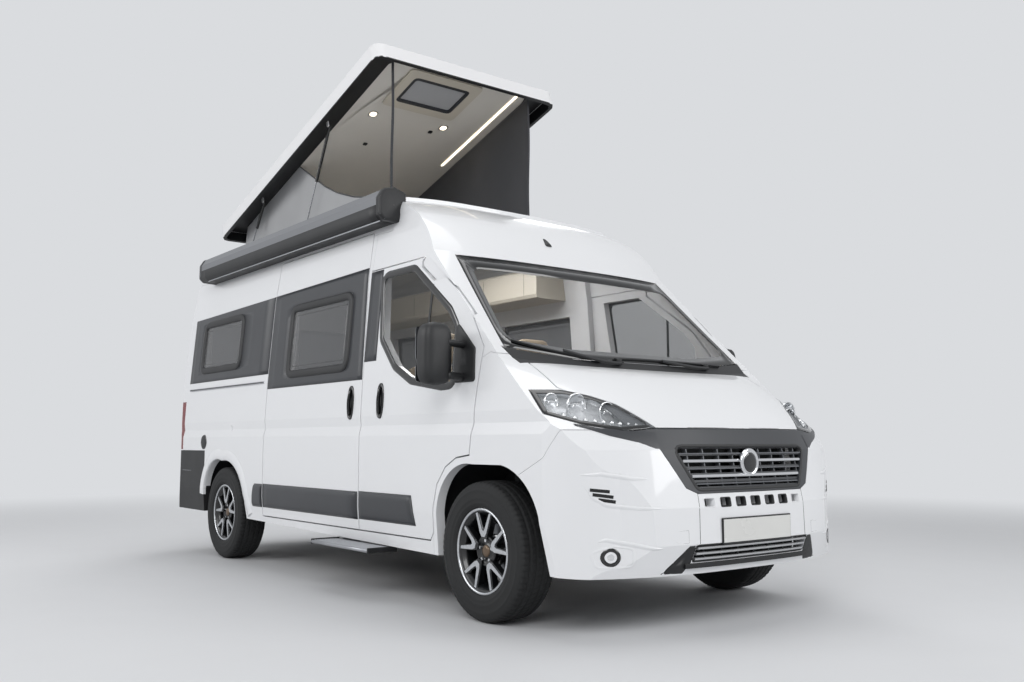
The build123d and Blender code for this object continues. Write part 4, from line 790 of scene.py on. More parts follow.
# Grille: dark backing, two bright bars and three dull ones, upright ribs, and a bare round badge
wide_at = lambda z: 500 + (z - 880) * 0.577
back = np.array([(-395, 690), (395, 690), (505, 880), (-505, 880)], float)
behind = lambda o, h: np.stack([NOSE - 128 + h - 60 * np.abs(o[..., 0] / 505) ** 2, o[..., 0], o[..., 1]], -1)
pad_plate("grille_backing", spaced(back, 80), behind, 1, 0, abs_black, "body", (1, 0, 0))
for k, z in enumerate((708, 744, 780, 816, 852)):
    half = wide_at(z) - 6
    bright = k in (1, 3)
    nose_line("grille_bar_%d" % k, ((-half, z), (half, z)), -9, 14, 15 if bright else 8,
              chrome_plate if bright else bar_paint, steps=48)
for k, y in enumerate(np.linspace(-420, 420, 9)):
    z0 = max(694.0, 880 - (500 - abs(y)) / 0.577)
    z = np.linspace(z0, 876, 8)
    path = np.stack([nose_x(0 * z + y, z) - 24, 0 * z + y, z], 1)
    sweep("grille_rib_%d" % k, path, [(-3, -14), (3, -14), (3, 12), (-3, 12)], bar_paint, "body",
          up=(1, 0, 0), smooth=False)
grille_in = smooth_loop(back + np.array([(0, -4), (0, -4), (4, 4), (-4, 4)]), 34, 6, 160)
frame_ring("grille_mouth", grille_in, on_nose, (13, 11, -2, -3), (0.2, 2.0, 1.4, -60), abs_black, "body",
           (1, 0, 0))
badge_z = 806
badge_x = nose_at(0, badge_z)
badge = [(0, 9), (40, 8.5), (52, 7), (54, 4), (57, 9), (63, 11), (69, 8), (71, 2), (71, -26), (0, -26)]
turned("badge_disc", badge, (badge_x, 0, badge_z), "x", chrome_plate, "body", steps=72)
turned("badge_face", [(0, 10), (38, 9.6), (49, 8.2), (51, 5), (0, 5)], (badge_x + 0.6, 0, badge_z), "x",
       abs_gloss, "body", steps=56)

# Bumper: dark backing of the vents, plate, lower mouth with three silver slats over a dark lip, gap lines
back_wall = np.array([(-440, 340), (440, 340), (440, 428), (-440, 428)], float)
mouth_back = lambda o, h: np.stack([NOSE - 118 + h + 0 * o[..., 0], o[..., 0], o[..., 1]], -1)
pad_plate("lower_mouth_backing", spaced(back_wall, 60), mouth_back, 1, 0, seal, "body", (1, 0, 0))
vent_wall = np.array([(-392, 588), (392, 588), (392, 652), (-392, 652)], float)
pad_plate("vent_backing", spaced(vent_wall, 60), mouth_back, 1, 0, seal, "body", (1, 0, 0))
for k in range(7):
    y = (k - 3) * 112.0
    loop = smooth_loop([(y - 35, 599), (y + 35, 599), (y + 35, 641), (y - 35, 641)], 6, 4, 40)
    frame_ring("vent_rim_%d" % k, loop, on_nose, (3, 1, -1.5, -2.5), (0.2, 1.6, 0.6, -30),
               enamel if k in (0, 6) else abs_black, "body", (1, 0, 0))
for k, z in enumerate((358, 384, 410)):
    nose_line("lower_slat_%d" % k, ((-418, z), (418, z)), -6, 22, 13, silver_paint, steps=40)
for k, y in enumerate(np.linspace(-360, 360, 7)):
    x = nose_at(y, 384)
    block("lower_slat_post_%d" % k, (x - 22, y - 4, 350), (x - 8, y + 4, 418), abs_black, "body", round_by=1)
lip = np.stack([np.linspace(-470, 470, 60), 330 + 0 * np.linspace(0, 1, 60)], 1)
lip_path = on_nose(lip, 2)
sweep("lower_lip", lip_path, [(-16, -12), (6, -15), (8, 2), (2, 9), (-16, 11)], abs_black, "body",
      smooth=False)
mouth = smooth_loop([(-432, 347), (432, 347), (432, 423), (-432, 423)], 12, 5, 120)
frame_ring("lower_mouth_edge", mouth, on_nose, (5, 3, -1, -2), (0.2, 1.8, 0.6, -60), abs_black, "body",
           (1, 0, 0))
for side, word in SIDES:
    cheek = np.array([(436, 424), (470, 424), (600, 292), (470, 292), (436, 340)], float) * [side, 1]
    pad_plate("lower_cheek_" + word, spaced(cheek, 60), on_nose, 1.2, 0.5, abs_black, "body", (1, 0, 0))
    z = np.linspace(430, 668, 16)
    seam_path = np.stack([nose_x(side * 409 + 0 * z, z) + 0.3, side * (409 - 0.02 * (z - 430)), z], 1)
    sweep("bumper_seam_" + word, seam_path, [(-1.2, -0.5), (1.2, -0.5), (1.2, 0.5), (-1.2, 0.5)], seal,
          "body", up=(1, 0, 0), smooth=False)
block("plate_holder", (NOSE - 6, -266, 418), (NOSE + 4, 266, 545), abs_black, "body", round_by=4)
block("front_plate", (NOSE + 3, -260, 428), (NOSE + 6.5, 260, 538), plate_white, "body", round_by=1.5)
fog_y, fog_z = 842, 384


def crease(name, points, side):
    """A low raised fold along points (y, z): its rows lie across it, and a sine ends it at both ends."""
    points = np.array(points, float) * [-side, 1]
    ease = np.linspace(0, len(points) - 1, 40)
    line = np.stack([np.interp(ease, np.arange(len(points)), points[:, c]) for c in (0, 1)], 1)
    swell = (np.sin(np.linspace(0, math.pi, 40)) ** 0.5)[None, :]
    across = np.array([-13, -7, 0, 5, 9])[:, None]
    rise = np.array([0, 3.0, 6.5, 4.5, 0])[:, None] * swell + 0.3
    flat = np.stack([line[None, :, 0] + 0 * across, line[None, :, 1] + across * swell], -1)
    skin(name, on_nose(flat, rise), (1, 0, 0), enamel, "body", wall=0)


for side, word in SIDES:
    recess = np.array([(742, 332), (905, 332), (925, 410), (830, 440), (742, 428)]) * [side, 1]
    frame_ring("fog_recess_" + word, smooth_loop(recess, 30, 6, 90), on_nose, (0, -5, -10, -12),
               (0.4, 2.6, 1.6, 0.2), enamel, "body", (1, 0, 0))
    fog_middle = np.array([side * fog_y, fog_z])
    frame_ring("fog_ring_" + word, fog_middle + circle(39, 48), on_nose, (3, 1, -9, -17), (0.3, 4, 3, -1.6),
               abs_gloss, "body", (1, 0, 0))
    dish = [on_nose(fog_middle + circle(r, 48), h)
            for r, h in ((23, -2), (19, -1.5), (12, 1.5), (4, 3), (0.5, 3.2))]
    band("fog_dish_" + word, dish, (1, 0, 0), reflector, "body")
    for k, (p0, p1) in enumerate((((917, 689), (844, 681)), ((908, 668), (829, 656)),
                                  ((888, 645), (819, 634)))):
        nose_line("side_slit_%s_%d" % (word, k), ((side * p0[0], p0[1]), (side * p1[0], p1[1])), -0.5, 5, 15,
                  seal, steps=10)
    # Creases of the bumper: over the fog lamp, and above and below the slits
    crease("fog_brow_" + word, [(-891, 455), (-865, 464), (-763, 444), (-663, 420), (-615, 418)], side)
    crease("scoop_top_" + word, [(-950, 757), (-881, 762), (-757, 743), (-670, 737)], side)
    crease("scoop_low_" + word, [(-936, 706), (-910, 653), (-860, 621), (-721, 604), (-600, 602)], side)
    # The grille's surround runs out under the headlamp as a tapering wing
    wing_top = np.array([(928, 995), (833, 973), (701, 960), (572, 960)], float)
    wing_low = np.array([(930, 985), (804, 936), (674, 903), (585, 861)], float)
    ease = np.linspace(0, 3, 36)
    rows = [np.stack([np.interp(ease, np.arange(4), edge[:, c]) for c in (0, 1)], 1)
            for edge in (wing_top, wing_low)]
    spread = np.linspace(0, 1, 6)[:, None, None]
    flat = (rows[0] * (1 - spread) + rows[1] * spread) * [side, 1]
    lifted = 0.3 + 2.2 * np.sin(np.linspace(0, math.pi, 6))[:, None] ** 0.5 + 0 * ease
    skin("grille_wing_" + word, on_nose(flat, lifted), (1, 0, 0), abs_grey, "body", wall=0)
    cover = smooth_loop(np.array([(476, 434), (560, 442), (560, 492), (476, 498)]) * [side, 1], 8, 4, 60)
    frame_ring("tow_eye_line_" + word, cover, on_nose, (0, -0.8, -1.6), (0.2, 0.7, 0.2), seal, "body",
               (1, 0, 0))


# Wheels

def flat_star(name, outline, copies, depths, place, material, body, outward):
    """Prisms on one outline of (outwards, sideways), in equal turns about the axle, between two depths."""
    outline = np.array(outline, float)
    n = len(outline)
    t = (np.arange(copies) * 2 * math.pi / copies + math.pi / 2)[:, None]
    a = outline[None, :, 0] * np.cos(t) - outline[None, :, 1] * np.sin(t)
    b = outline[None, :, 0] * np.sin(t) + outline[None, :, 1] * np.cos(t)
    layers = [np.stack([a, np.full_like(a, d), b], -1) for d in depths]
    points = np.stack(layers, 1).reshape(-1, 3) * [1, outward, 1] + place
    i = np.arange(n)
    sides = np.stack([i, (i + 1) % n, n + (i + 1) % n, n + i], 1)
    faces = []
    for k in range(copies):
        faces += (sides + 2 * n * k).tolist() + [(i[::-1] + 2 * n * k).tolist(), (i + n + 2 * n * k).tolist()]
    return put(name, points, faces, material, body, smooth=False, flip=outward < 0)


# Outlines of (outwards, sideways) from the middle: the bright vee, the dark one behind it, the short arm
vee = [(203, 69), (90, 27), (72, 13), (72, -13), (90, -27), (203, -69), (208, -56), (108, -10), (101, 0),
       (108, 10), (208, 56)]
vee_dark = [(204, 74), (88, 31), (60, 17), (60, -17), (88, -31), (204, -74), (209, -52), (114, -8), (106, 0),
            (114, 8), (209, 52)]
arm_dark = [(92, 10), (60, 16), (60, -16), (92, -10)]
# The tyre's section as (distance from its middle plane, radius): bead to shoulder, tread, and the other side
side_wall = np.array([(96, 219.5), (103, 226), (108, 240), (109.5, 243), (109, 247), (111, 262), (112.5, 266),
                      (111.8, 270), (112, 290), (111, 304), (112.3, 308), (110, 312), (107.5, 322),
                      (105, 331), (100, 341), (94, 347.5), (88, 350.5)])
tread = np.array([
    (o, 350.5 + 4.5 * math.cos(math.pi / 2 * (o / 88.0) ** 2)) for o in np.linspace(84, -84, 43)])
ring = np.concatenate([side_wall, tread, side_wall[::-1] * [-1, 1]])


def tyre(end, side, place):
    """The tyre's section turned about the axle, its tread cut by four grooves round and slots across."""
    steps = 420
    t = np.linspace(0, 2 * math.pi, steps, endpoint=False)[:, None]
    o, r = ring[None, :, 0], ring[None, :, 1]
    on_tread = r > 349
    grooves = sum((np.abs(o - c) < 4.2) for c in (-60, -22, 22, 60))
    wave = (t * 70 / (2 * math.pi) + 0.35 * np.sign(o)) % 1.0
    slots = (wave < 0.24) & (np.abs(o) > 66)
    blocks = ((t * 70 / (2 * math.pi) + 0.012 * o) % 1.0 < 0.16) & (np.abs(o) < 60)
    deep = np.where(on_tread, np.maximum(grooves * 7.0, np.maximum(slots * 5.0, blocks * 3.5)), 0)
    deep = np.where((r > 340) & ~on_tread, slots * 3.0, deep)
    cut = r - deep
    grid = np.stack([cut * np.cos(t), o + 0 * t, cut * np.sin(t)], -1) * [1, side, 1] + place
    faces = quads(steps, ring.shape[0], wrap_rows=True, wrap_columns=True)
    word = "right" if side < 0 else "left"
    piece = put("tyre_road_%s_%s" % (end, word), grid, faces, tyre_rubber, "wheel_%s_%s" % (end, word),
                flip=side > 0)
    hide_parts("tyre_%s_%s" % (end, word))


def wheel(end, side, place):
    """Rim: barrel, bright lip, five bright vees over dark ones, hub, bolts, cap and the brake disc behind."""
    word = "right" if side < 0 else "left"
    body, tag = "wheel_%s_%s" % (end, word), "%s_%s" % (end, word)
    at = lambda pairs: [(r, side * o) for r, o in pairs]
    barrel = at([(219, 95), (219, 90), (199, 88), (184, 60), (184, -62), (199, -92), (219, -95), (215, -98),
                 (195, -94), (178, -60), (178, 56), (186, 74), (200, 84), (203, 92), (211, 97), (219, 95)])
    piece = turned("rim_barrel_" + tag, barrel, place, "y", wheel_black, body, steps=96, flip=side > 0)
    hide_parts("rim_" + tag)
    lip = at([(218, 96), (216, 99.5), (209, 100), (204, 96), (203, 91), (206, 90), (218, 94)])
    turned("rim_lip_" + tag, lip + lip[:1], place, "y", machined, body, steps=96, flip=side > 0)
    flat_star("rim_vees_" + tag, vee, 5, (80, 88), place, machined, body, side)
    flat_star("rim_dark_vees_" + tag, vee_dark, 5, (46, 80.4), place, wheel_black, body, side)
    flat_star("rim_dark_arms_" + tag, arm_dark, 5, (50, 74), place, wheel_black, body, side)
    hub = at([(0, 66), (34, 66), (38, 62), (58, 62), (70, 72), (76, 72), (80, 64), (78, 30), (36, 26),
              (36, 8), (0, 8)])
    turned("rim_hub_" + tag, hub, place, "y", wheel_black, body, steps=64, flip=side > 0)
    cap = at([(0, 76), (16, 75.5), (27, 73), (31, 68), (31, 60), (0, 60)])
    turned("rim_cap_" + tag, cap, place, "y", cap_paint, body, steps=48, flip=side > 0)
    bolt = [(53 + 9 * math.cos(a), 9 * math.sin(a)) for a in np.arange(6) * math.pi / 3]
    flat_star("rim_bolts_" + tag, bolt, 5, (60, 74), place, chrome_plate, body, side)
    disc = at([(134, -2), (134, -20), (84, -20), (84, -16), (78, -14), (78, 6), (84, 4), (134, -2)])
    turned("brake_disc_" + tag, disc, place, "y", disc_steel, body, steps=72, flip=side > 0)


for end, axle_x in (("front", AXLE), ("rear", REAR_AXLE)):
    track = TRACKS[end]
    for side, word in SIDES:
        centre = np.array([axle_x, side * track / 2, WHEEL_Z])
        tyre(end, side, centre)
        wheel(end, side, centre)
        holder = "knuckle_" + word if end == "front" else "body"
        faces_y = sorted((side * (track / 2 - 40), side * (track / 2 + 4)))
        block("brake_caliper_%s_%s" % (end, word), (axle_x - 144, faces_y[0], 300),
              (axle_x - 104, faces_y[1], 420), cast_iron, holder, round_by=8)


# Rear wheel arches: a raised lip along the opening's arc
for side, word in SIDES:
    rear_half = arc((REAR_AXLE - 385, 480), (REAR_AXLE - 290, 690), (REAR_AXLE, 758), 12)
    front_half = arc((REAR_AXLE, 758), (REAR_AXLE + 300, 690), (REAR_AXLE + 440, 520), 14)
    edge = np.vstack([rear_half, front_half[1:], [(REAR_AXLE + 500, 400)], [(REAR_AXLE + 522, 352)]])
    ahead = np.gradient(edge, axis=0)
    out = np.stack([-ahead[:, 1], ahead[:, 0]], 1) / np.linalg.norm(ahead, axis=1)[:, None]
    lay = on_flank(side)
    grid = np.stack([lay(edge + out * w, h)
                     for w, h in ((0, -20), (0, 3), (4, 6.5), (34, 8), (60, 7), (72, 4), (80, 0.3))])
    skin("arch_lip_" + word, grid, (0, side, 0), enamel, "body", wall=0)


# Tent: cloth sheets of the right, left and rear walls, with folds as sums of sines that fade towards the hems

def lid_z(x, h):
    """Height of the open lid's plane at x, at h above its top face."""
    return LID_Z + (x - LID_X) * math.tan(LID_TILT) + h / math.cos(LID_TILT)


def folds(u, v, seed, deep):
    """Upright folds that drift with height: seven sines along u, bent by v, deepest in mid-height."""
    draw = np.random.default_rng(seed)
    total = 0 * u
    for k in range(7):
        waves, phase, bend = draw.uniform(3, 19), draw.uniform(0, 6.3), draw.uniform(-2.2, 2.2)
        wave = np.sin(waves * 2 * u + phase + bend * v + 0.8 * np.sin(3 * v + phase))
        total = total + wave / (1 + 0.08 * waves)
    return deep * total / 3 * np.sin(np.pi * np.clip(v, 0, 1)) ** 0.6


def squash_down(piece):
    """Gives the piece a mesh of its own."""
    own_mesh(piece)


def cloth(name, corner, across, top, material, seed, deep, count=90, rows=46):
    """A hanging sheet: u runs along across, v from the roof up to top(x, u), and folds push it sideways."""
    u = np.linspace(0, 1, count)[:, None]
    v = np.linspace(0, 1, rows)[None, :]
    corner, across = np.array(corner, float), np.array(across, float)
    base = corner + across * u[..., None]
    high = top(base[..., 0], u)
    z = TENT_FOOT + (high - TENT_FOOT) * v
    side = np.cross(across, (0, 0, 1))
    side /= np.linalg.norm(side)
    push = folds(u + 0 * v, v + 0 * u, seed, deep)
    grid = np.stack([base[..., 0] + 0 * v, base[..., 1] + 0 * v, z], -1) + side * push[..., None]
    piece = skin(name, grid, side, material, "body", wall=1.2)
    squash_down(piece)
    return piece


ceiling = lambda x, u: lid_z(x, -28) + 0 * u
# The right wall's top edge: let down towards the front, and never above the lid
flap_x = AXLE + np.array([-4080, -3073, -2832, -2587, -2388, -2137, -1858, -1600])
flap_z = np.array([lid_z(AXLE - 4080, -28), 3143, 3003, 2862, 2773, 2691, 2630, 2628])
flap = lambda x, u: np.minimum(np.interp(x, flap_x, flap_z), lid_z(x, -28)) + 0 * u
right_sheet = cloth("tent_side_right", (AXLE - 4078, -606, 0), (2476, 0, 0), flap, tent_pale, 3, 17)
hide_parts("roof_tent")
# The left wall's inner face is drawn in the dark copy of the cloth: painted shade
cloth("tent_side_left", (AXLE - 1602, 606, 0), (-2476, 0, 0), ceiling, tent_trim_and_shade, 8, 19)
cloth("tent_rear", (AXLE - 4076, 604, 0), (0, -1208, 0), ceiling, tent_pale, 5, 5, rows=20)
hem_t = np.linspace(0, 1, 60)
hem_x = AXLE - 3080 + 1480 * hem_t
hem = np.stack([hem_x, 0 * hem_x - 607, flap(hem_x, 0 * hem_x) + 2], 1)
hem_piece = sweep("tent_flap_hem", hem, circle(5, 8), tent_trim_and_shade, "body")
squash_down(hem_piece)
for word, y in (("right", -607), ("left", 606)):
    z = np.linspace(2502, lid_z(AXLE - 1600, -32), 24)
    post = np.stack([0 * z + AXLE - 1600 + 5 * np.sin(z / 120), 0 * z + y, z], 1)
    zip_piece = sweep("tent_zip_" + word, post, [(-9, -3), (9, -3), (9, 3), (-9, 3)], tent_trim_and_shade, "body",
                      up=(1, 0, 0), smooth=False)
    squash_down(zip_piece)


# Lid: edge and underside round the pale ceiling drawn black as painted shade of the lid's underside, the
# skylight's inner frame, light strip and spots

def on_lid(u, y, h):
    """A point of the lid: u along it from its rear edge, y across, h above its top face."""
    u, y, h = np.broadcast_arrays(u, y, h)
    c, s = math.cos(LID_TILT), math.sin(LID_TILT)
    return np.stack([LID_X + u * c - h * s, y, LID_Z + u * s + h * c], -1)


def lid_panel(name, u0, u1, y0, y1, h, material, radius=20.0, thick=2.0, hole=None):
    """A flat panel under the lid, facing down."""
    loop = smooth_loop([(u0, y0), (u1, y0), (u1, y1), (u0, y1)], radius, 6, 80)
    rings = [on_lid(loop[:, 0], loop[:, 1], h + thick), on_lid(loop[:, 0], loop[:, 1], h)]
    if hole is None:
        middle = loop.mean(0)
        rings += [on_lid(*((loop * (1 - s) + middle * s).T), h) for s in (0.5, 0.999)]
    else:
        a0, a1, b0, b1 = hole
        inner = smooth_loop([(a0, b0), (a1, b0), (a1, b1), (a0, b1)], radius, 6, 80)
        rings += [on_lid(inner[:, 0], inner[:, 1], h), on_lid(inner[:, 0], inner[:, 1], h + thick)]
    band(name, rings, (0.29, 0, -0.96), material, "lid", smooth=False)


lid_panel("lid_ceiling", 120, 2740, -606, 606, -30, lining, thick=4, hole=(2275, 2705, -420, 190))
# The lid's underside round the ceiling is drawn black: painted shade
lid_panel("lid_underside_painted_shade", 34, 2800, -766, 766, -29, abs_black, 60, 3, hole=(130, 2730, -596, 596))
lid_panel("skylight_frame", 2262, 2718, -433, 203, -46, cabinet, 40, 14, hole=(2335, 2645, -360, 130))
lid_panel("skylight_blind", 2330, 2650, -365, 135, -34, tent_pale, 10, 2)
# The rim's lower edge and inner face are drawn black: painted shade
rim_loop = smooth_loop([(0, -800), (2834, -800), (2834, 800), (0, 800)], 70, 8, 200)
rim_in = smooth_loop([(26, -774), (2808, -774), (2808, 774), (26, 774)], 45, 8, 200)
band("lid_rim_painted_shade", [on_lid(*rim_loop.T, -104), on_lid(*(grown(rim_loop, 1.2)).T, -106),
                      on_lid(*rim_loop.T, -112), on_lid(*rim_in.T, -112),
                      on_lid(*(grown(rim_in, -1.2)).T, -60), on_lid(*(grown(rim_in, -1.2)).T, -28)],
     (0, 0, -1), abs_black, "lid", smooth=False)
lid_panel("lid_light_strip", 1644, 2763, 500, 520, -36, lamp_light, 4, 5)
for k, (u, y) in enumerate(((2112, -415), (2145, 202))):
    lid_panel("lid_spot_%d" % k, u - 26, u + 26, y - 26, y + 26, -38, lamp_light, 25, 6)
    lid_panel("lid_spot_ring_%d" % k, u - 36, u + 36, y - 36, y + 36, -36, chrome_plate, 35, 5,
              hole=(u - 27, u + 27, y - 27, y + 27))
for k, (u, y) in enumerate(((1724, -273), (2059, 133))):
    lid_panel("lid_switch_%d" % k, u - 16, u + 16, y - 16, y + 16, -38, abs_black, 8, 6)


# Awning case: its section as (y, z), end caps as rings of (step out, growth), lower cover, bright line
case = np.array([(-860, 2255), (-1010, 2262), (-1042, 2290), (-1042, 2400), (-1010, 2452), (-940, 2468),
                 (-860, 2440)], float)
case_loop = smooth_loop(case, 16, 6, 72)
for word, x_end, step, material in (("front", AXLE - 1000, 1, abs_black),
                                    ("rear", AXLE - 4037, -1, abs_grey)):
    rings = [(-46, 0.2), (-45, 3), (-6, 3.4), (0, 0.5), (3, -12), (3.5, -60)]
    loops = [np.concatenate([np.full((72, 1), x_end + step * d), grown(case_loop, w)], 1)
             for d, w in rings[:-1]]
    loops.append(np.concatenate([np.full((72, 1), x_end + step * 3.5),
                                 case_loop.mean(0) + 0.02 * (case_loop - case_loop.mean(0))], 1))
    band("awning_cap_" + word, loops, (step, 0, 0), material, "body")
under = np.array([(-902, 2255.4), (-1009, 2260.4), (-1021, 2264), (-1036, 2278), (-1043.4, 2290),
                  (-1043.4, 2352), (-1041.8, 2354)])
runs = np.linspace(AXLE - 3992, AXLE - 1046, 30)
skin("awning_lower_cover", np.stack([np.concatenate([np.full((7, 1), x), under], 1) for x in runs]),
     (0, -1, -0.3), abs_black, "body", wall=1)
sweep("awning_front_line", [(x, -1012, 2257.5) for x in np.linspace(AXLE - 3900, AXLE - 1050, 12)],
      [(-3, -3), (3, -3), (3, 3), (-3, 3)], rail_metal, "body", smooth=False)

# Entry step: ribbed tread, rounded nosing and black ends
for k in range(9):
    y = -1136 + 18 * k
    sweep("step_rib_%d" % k, [(x, y, 297.2) for x in np.linspace(AXLE - 1590, AXLE - 913, 4)],
          [(-3.5, -2), (3.5, -2), (2, 1.4), (-2, 1.4)], rail_metal, "entry_step", smooth=False)
sweep("step_nosing", [(x, -1149, 287) for x in np.linspace(AXLE - 1597, AXLE - 906, 4)],
      circle(10.5, 16) * [0.7, 1], rail_metal, "entry_step")
for word, x in (("rear", AXLE - 1604), ("front", AXLE - 899)):
    block("step_end_" + word, (x - 6, -1153, 272), (x + 6, -955, 304), abs_black, "entry_step", round_by=4)
block("step_riser", (AXLE - 1585, -968, 302), (AXLE - 918, -962, 334), rail_metal, "body", round_by=1)


# Inside: seats, mattress, lockers, kitchen, instrument hood and steering wheel

def cushion(name, middle, half, lean, material, power=0.32, replaces=None):
    """A stuffed pad: a superellipsoid, its top swelled by a cosine and drawn in at two seams, then leaned."""
    u = np.linspace(0, 2 * math.pi, 72, endpoint=False)[:, None]
    v = np.linspace(-math.pi / 2, math.pi / 2, 29)[None, :]
    bent = lambda c, e: np.sign(c) * np.abs(c) ** e
    wide = bent(np.cos(v), power)
    x, y = half[0] * bent(np.cos(u), power) * wide, half[1] * bent(np.sin(u), power) * wide
    z = half[2] * bent(np.sin(v), 0.6) * (
        1 + 0.05 * np.cos(np.pi * x / half[0] / 2) * np.cos(np.pi * y / half[1] / 2))
    z = z - 2.5 * np.exp(-(y / 5) ** 2) * (z > 0) - 2.5 * np.exp(-((x / half[0]) / 0.03) ** 2) * (z > 0)
    a = math.radians(lean)
    grid = np.stack([
        x * math.cos(a) - z * math.sin(a), y,
        x * math.sin(a) + z * math.cos(a)], -1) + np.array(middle, float)
    faces = quads(72, 29, wrap_rows=True)
    piece = put(name, grid, faces, material, "body")
    if replaces:
        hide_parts(replaces)
    return piece


for side, word in SIDES:
    x, y = AXLE - 1000, side * 400
    cushion("seat_cushion_" + word, (x + 60, y, 822), (270, 180, 62), 4, seat_leather,
            replaces="cab_seats" if side < 0 else None)
    cushion("seat_back_" + word, (x - 236, y, 1110), (300, 165, 62), 100, seat_leather)
    for way in (-1, 1):
        cushion("seat_bolster_%s_%d" % (word, way), (x + 60, y + way * 222, 836), (262, 42, 64), 4,
                seat_leather)
        cushion("back_bolster_%s_%d" % (word, way), (x - 222, y + way * 205, 1100), (290, 44, 72), 100,
                seat_leather)
        cushion("arm_rest_%s_%d" % (word, way), (x - 60, y + way * 290, 1010), (160, 26, 26), 2, seat_leather)
    cushion("head_rest_" + word, (x - 300, y, 1530), (105, 128, 46), 97, seat_leather)
    block("seat_base_" + word, (x - 170, y - 225, 546), (x + 290, y + 225, 752), dash_grain, "body",
          round_by=18)
cushion("mattress_front", (AXLE - 3030, 0, 1128), (375, 895, 46), 0, lining, 0.16)
cushion("mattress_rear", (AXLE - 3790, 0, 1128), (372, 895, 46), 0, lining, 0.16)
for side, word in SIDES:
    x_back, x_front = (AXLE - 4250, AXLE - 2720) if side < 0 else (AXLE - 4250, AXLE - 1500)
    # The back of the locker lies on the wall's inner face, 55 mm inside the skin
    heights = np.linspace(1985, 2225, 9)
    against = np.stack([np.interp(heights, *SECTION.T) - 55, heights], 1)
    front = np.array([(640, 2225), (606, 2205), (600, 2190), (600, 2015), (612, 1992), (640, 1985)], float)
    outline = np.vstack([against, front]) * [-side, 1]
    sweep("overhead_locker_" + word, [(x, 0, 0) for x in np.linspace(x_back, x_front, 4)], outline, cabinet,
          "body", smooth=False)
    for k, x in enumerate(np.arange(x_back + 520, x_front - 100, 520)):
        block("locker_joint_%s_%d" % (word, k), (x - 1.5, min(side * 599, side * 602), 2018),
              (x + 1.5, max(side * 599, side * 602), 2188), seal, "body", round_by=0.3)
for k, z in enumerate((760, 930, 1100)):
    block("kitchen_drawer_%d" % k, (AXLE - 2280, 246, z), (AXLE - 1720, 250.5, z + 150), cabinet, "body",
          round_by=3)
    block("kitchen_handle_%d" % k, (AXLE - 2060, 238, z + 120), (AXLE - 1940, 247, z + 130), rail_metal,
          "body", round_by=2)
block("kitchen_top", (AXLE - 2310, 240, 1260), (AXLE - 1690, 940, 1285), seat_dark, "body", round_by=6)
hood_y = np.linspace(170, 630, 24)
hood = np.stack([
    0 * hood_y + AXLE - 250, hood_y, 1178 + 52 * np.sin((hood_y - 170) / 460 * math.pi) ** 0.7], 1)
sweep("instrument_hood", hood, circle(1, 24) * [95, 26], dash_grain, "body", up=(0, 0, 1))
ring_t = np.linspace(0, 2 * math.pi, 72, endpoint=False)
ring_path = np.array([AXLE - 440 - 0.8 * 11, 400, 1180 + 0.6 * 11]) + 185 * (
    np.cos(ring_t)[:, None] * [0, 1, 0] + np.sin(ring_t)[:, None] * [0.6, 0, 0.8])
sweep("steering_hoop", ring_path, circle(15.5, 14), seat_dark, "body", up=(-0.8, 0, 0.6), closed=True)
dome = [(0, 34), (40, 31), (66, 22), (74, 10), (74, -4), (0, -4)]
boss = turned("steering_boss", dome, (0, 0, 0), "z", dash_grain, "body", steps=40)
boss.data.transform(Vector((-0.8, 0, 0.6)).to_track_quat("Z", "Y").to_matrix().to_4x4())
boss.data.transform(Matrix.Translation(((AXLE - 440 - 9) * MM, 0.4, 1.187)))


# Rear end: window surrounds, lamps' bands, handle, hinges and a bare plate

def on_tail(outline, lift):
    """Lays (y, z) on the rear: x is the leaning profile or the rounded corner, whichever is further in."""
    y, z = outline[..., 0], outline[..., 1]
    lean = np.interp(z, (1200, 2319), (TAIL, TAIL + 62))
    return np.stack([np.maximum(lean, np.interp(np.abs(y), PLAN[:9, 1], PLAN[:9, 0])) - lift, y, z], -1)


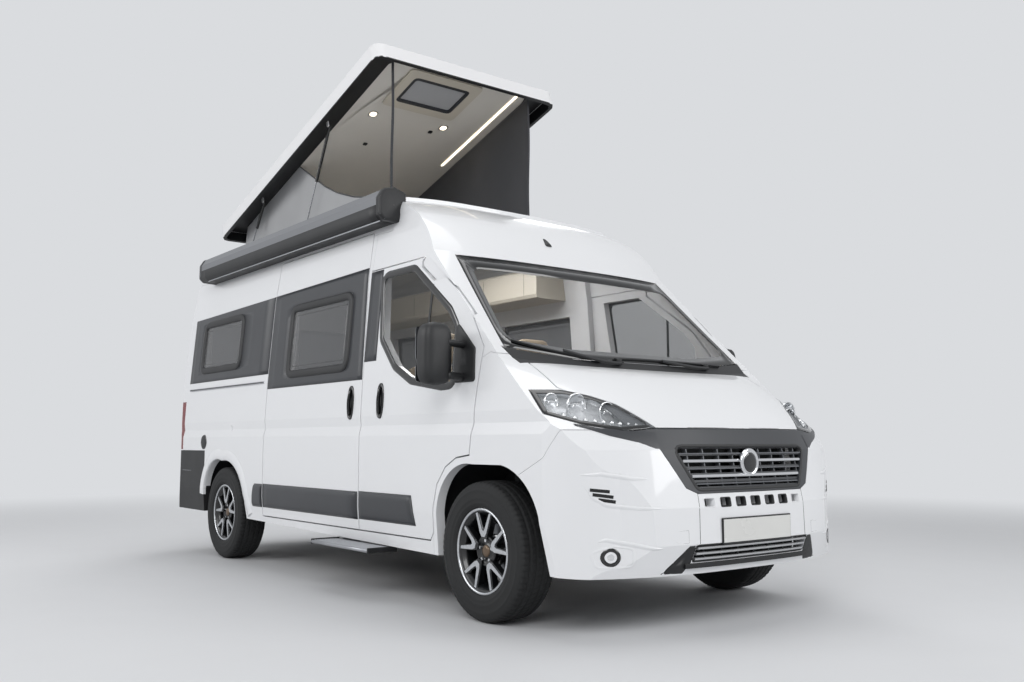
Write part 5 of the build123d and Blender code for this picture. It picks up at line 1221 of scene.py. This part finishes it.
for side, word in SIDES:
    ride = "rear_door_" + word
    pane = smooth_loop(
        np.array([(60, 1400), (60, 1960), (780, 1960), (780, 1400)]) * [side, 1], 60, 7, 100)
    frame_ring("rear_window_frame_" + word, pane, on_tail, (-22, -18, -6, 12, 20, 22),
               (-1.4, 3, 5, 5, 3, 0.3), abs_black, ride, (-1, 0, 0))
    for z in (1300, 2120):
        leaf = smooth_loop(
            np.array([(780, z - 22), (852, z - 22), (852, z + 22), (780, z + 22)]) * [side, 1], 8, 4, 48)
        pad_plate("rear_hinge_%s_%d" % (word, z), leaf, on_tail, 6, 3, abs_black, ride, (-1, 0, 0))
    for tag, z0, z1, material in (("amber", 1110, 1175, amber), ("clear", 1010, 1075, lamp_cover)):
        loop = smooth_loop(
            np.array([(948, z0), (1000, z0), (1000, z1), (948, z1)]) * [side, 1], 10, 4, 48)
        pad_plate("tail_lens_%s_%s" % (tag, word), loop, on_tail, 1.6, 0.8, material, "body", (-1, 0, 0))
grip = smooth_loop([(-96, 1085), (-26, 1085), (-26, 1240), (-96, 1240)], 20, 6, 64)
pad_plate("rear_handle", grip, on_tail, 9, 4, abs_black, "rear_door_right", (-1, 0, 0))
block("rear_plate", (TAIL - 5.5, 150, 905), (TAIL - 1.5, 670, 1015), plate_white, "rear_door_left",
      round_by=1.5)
block("rear_plate_frame", (TAIL - 2, 142, 897), (TAIL + 1, 678, 1023), abs_black, "rear_door_left",
      round_by=3)
block("plate_light", (TAIL - 9, 300, 1040), (TAIL + 1, 520, 1062), abs_black, "rear_door_left", round_by=4)
block("brake_light", (TAIL + 73, -170, 2346), (TAIL + 92, 170, 2368), red_lens, "body", round_by=4)
for side, word in SIDES:
    line = np.stack([np.linspace(AXLE - 4330, AXLE - 4130, 8), np.zeros(8), np.full(8, 668.0)], 1)
    line[:, 1] = side * (flank_y(line[:, 0], line[:, 2]) + 0.4)
    sweep("bumper_line_" + word, line, [(-1.5, -1), (1.5, -1), (1.5, 1), (-1.5, 1)], steel, "body",
          up=(0, side, 0), smooth=False)
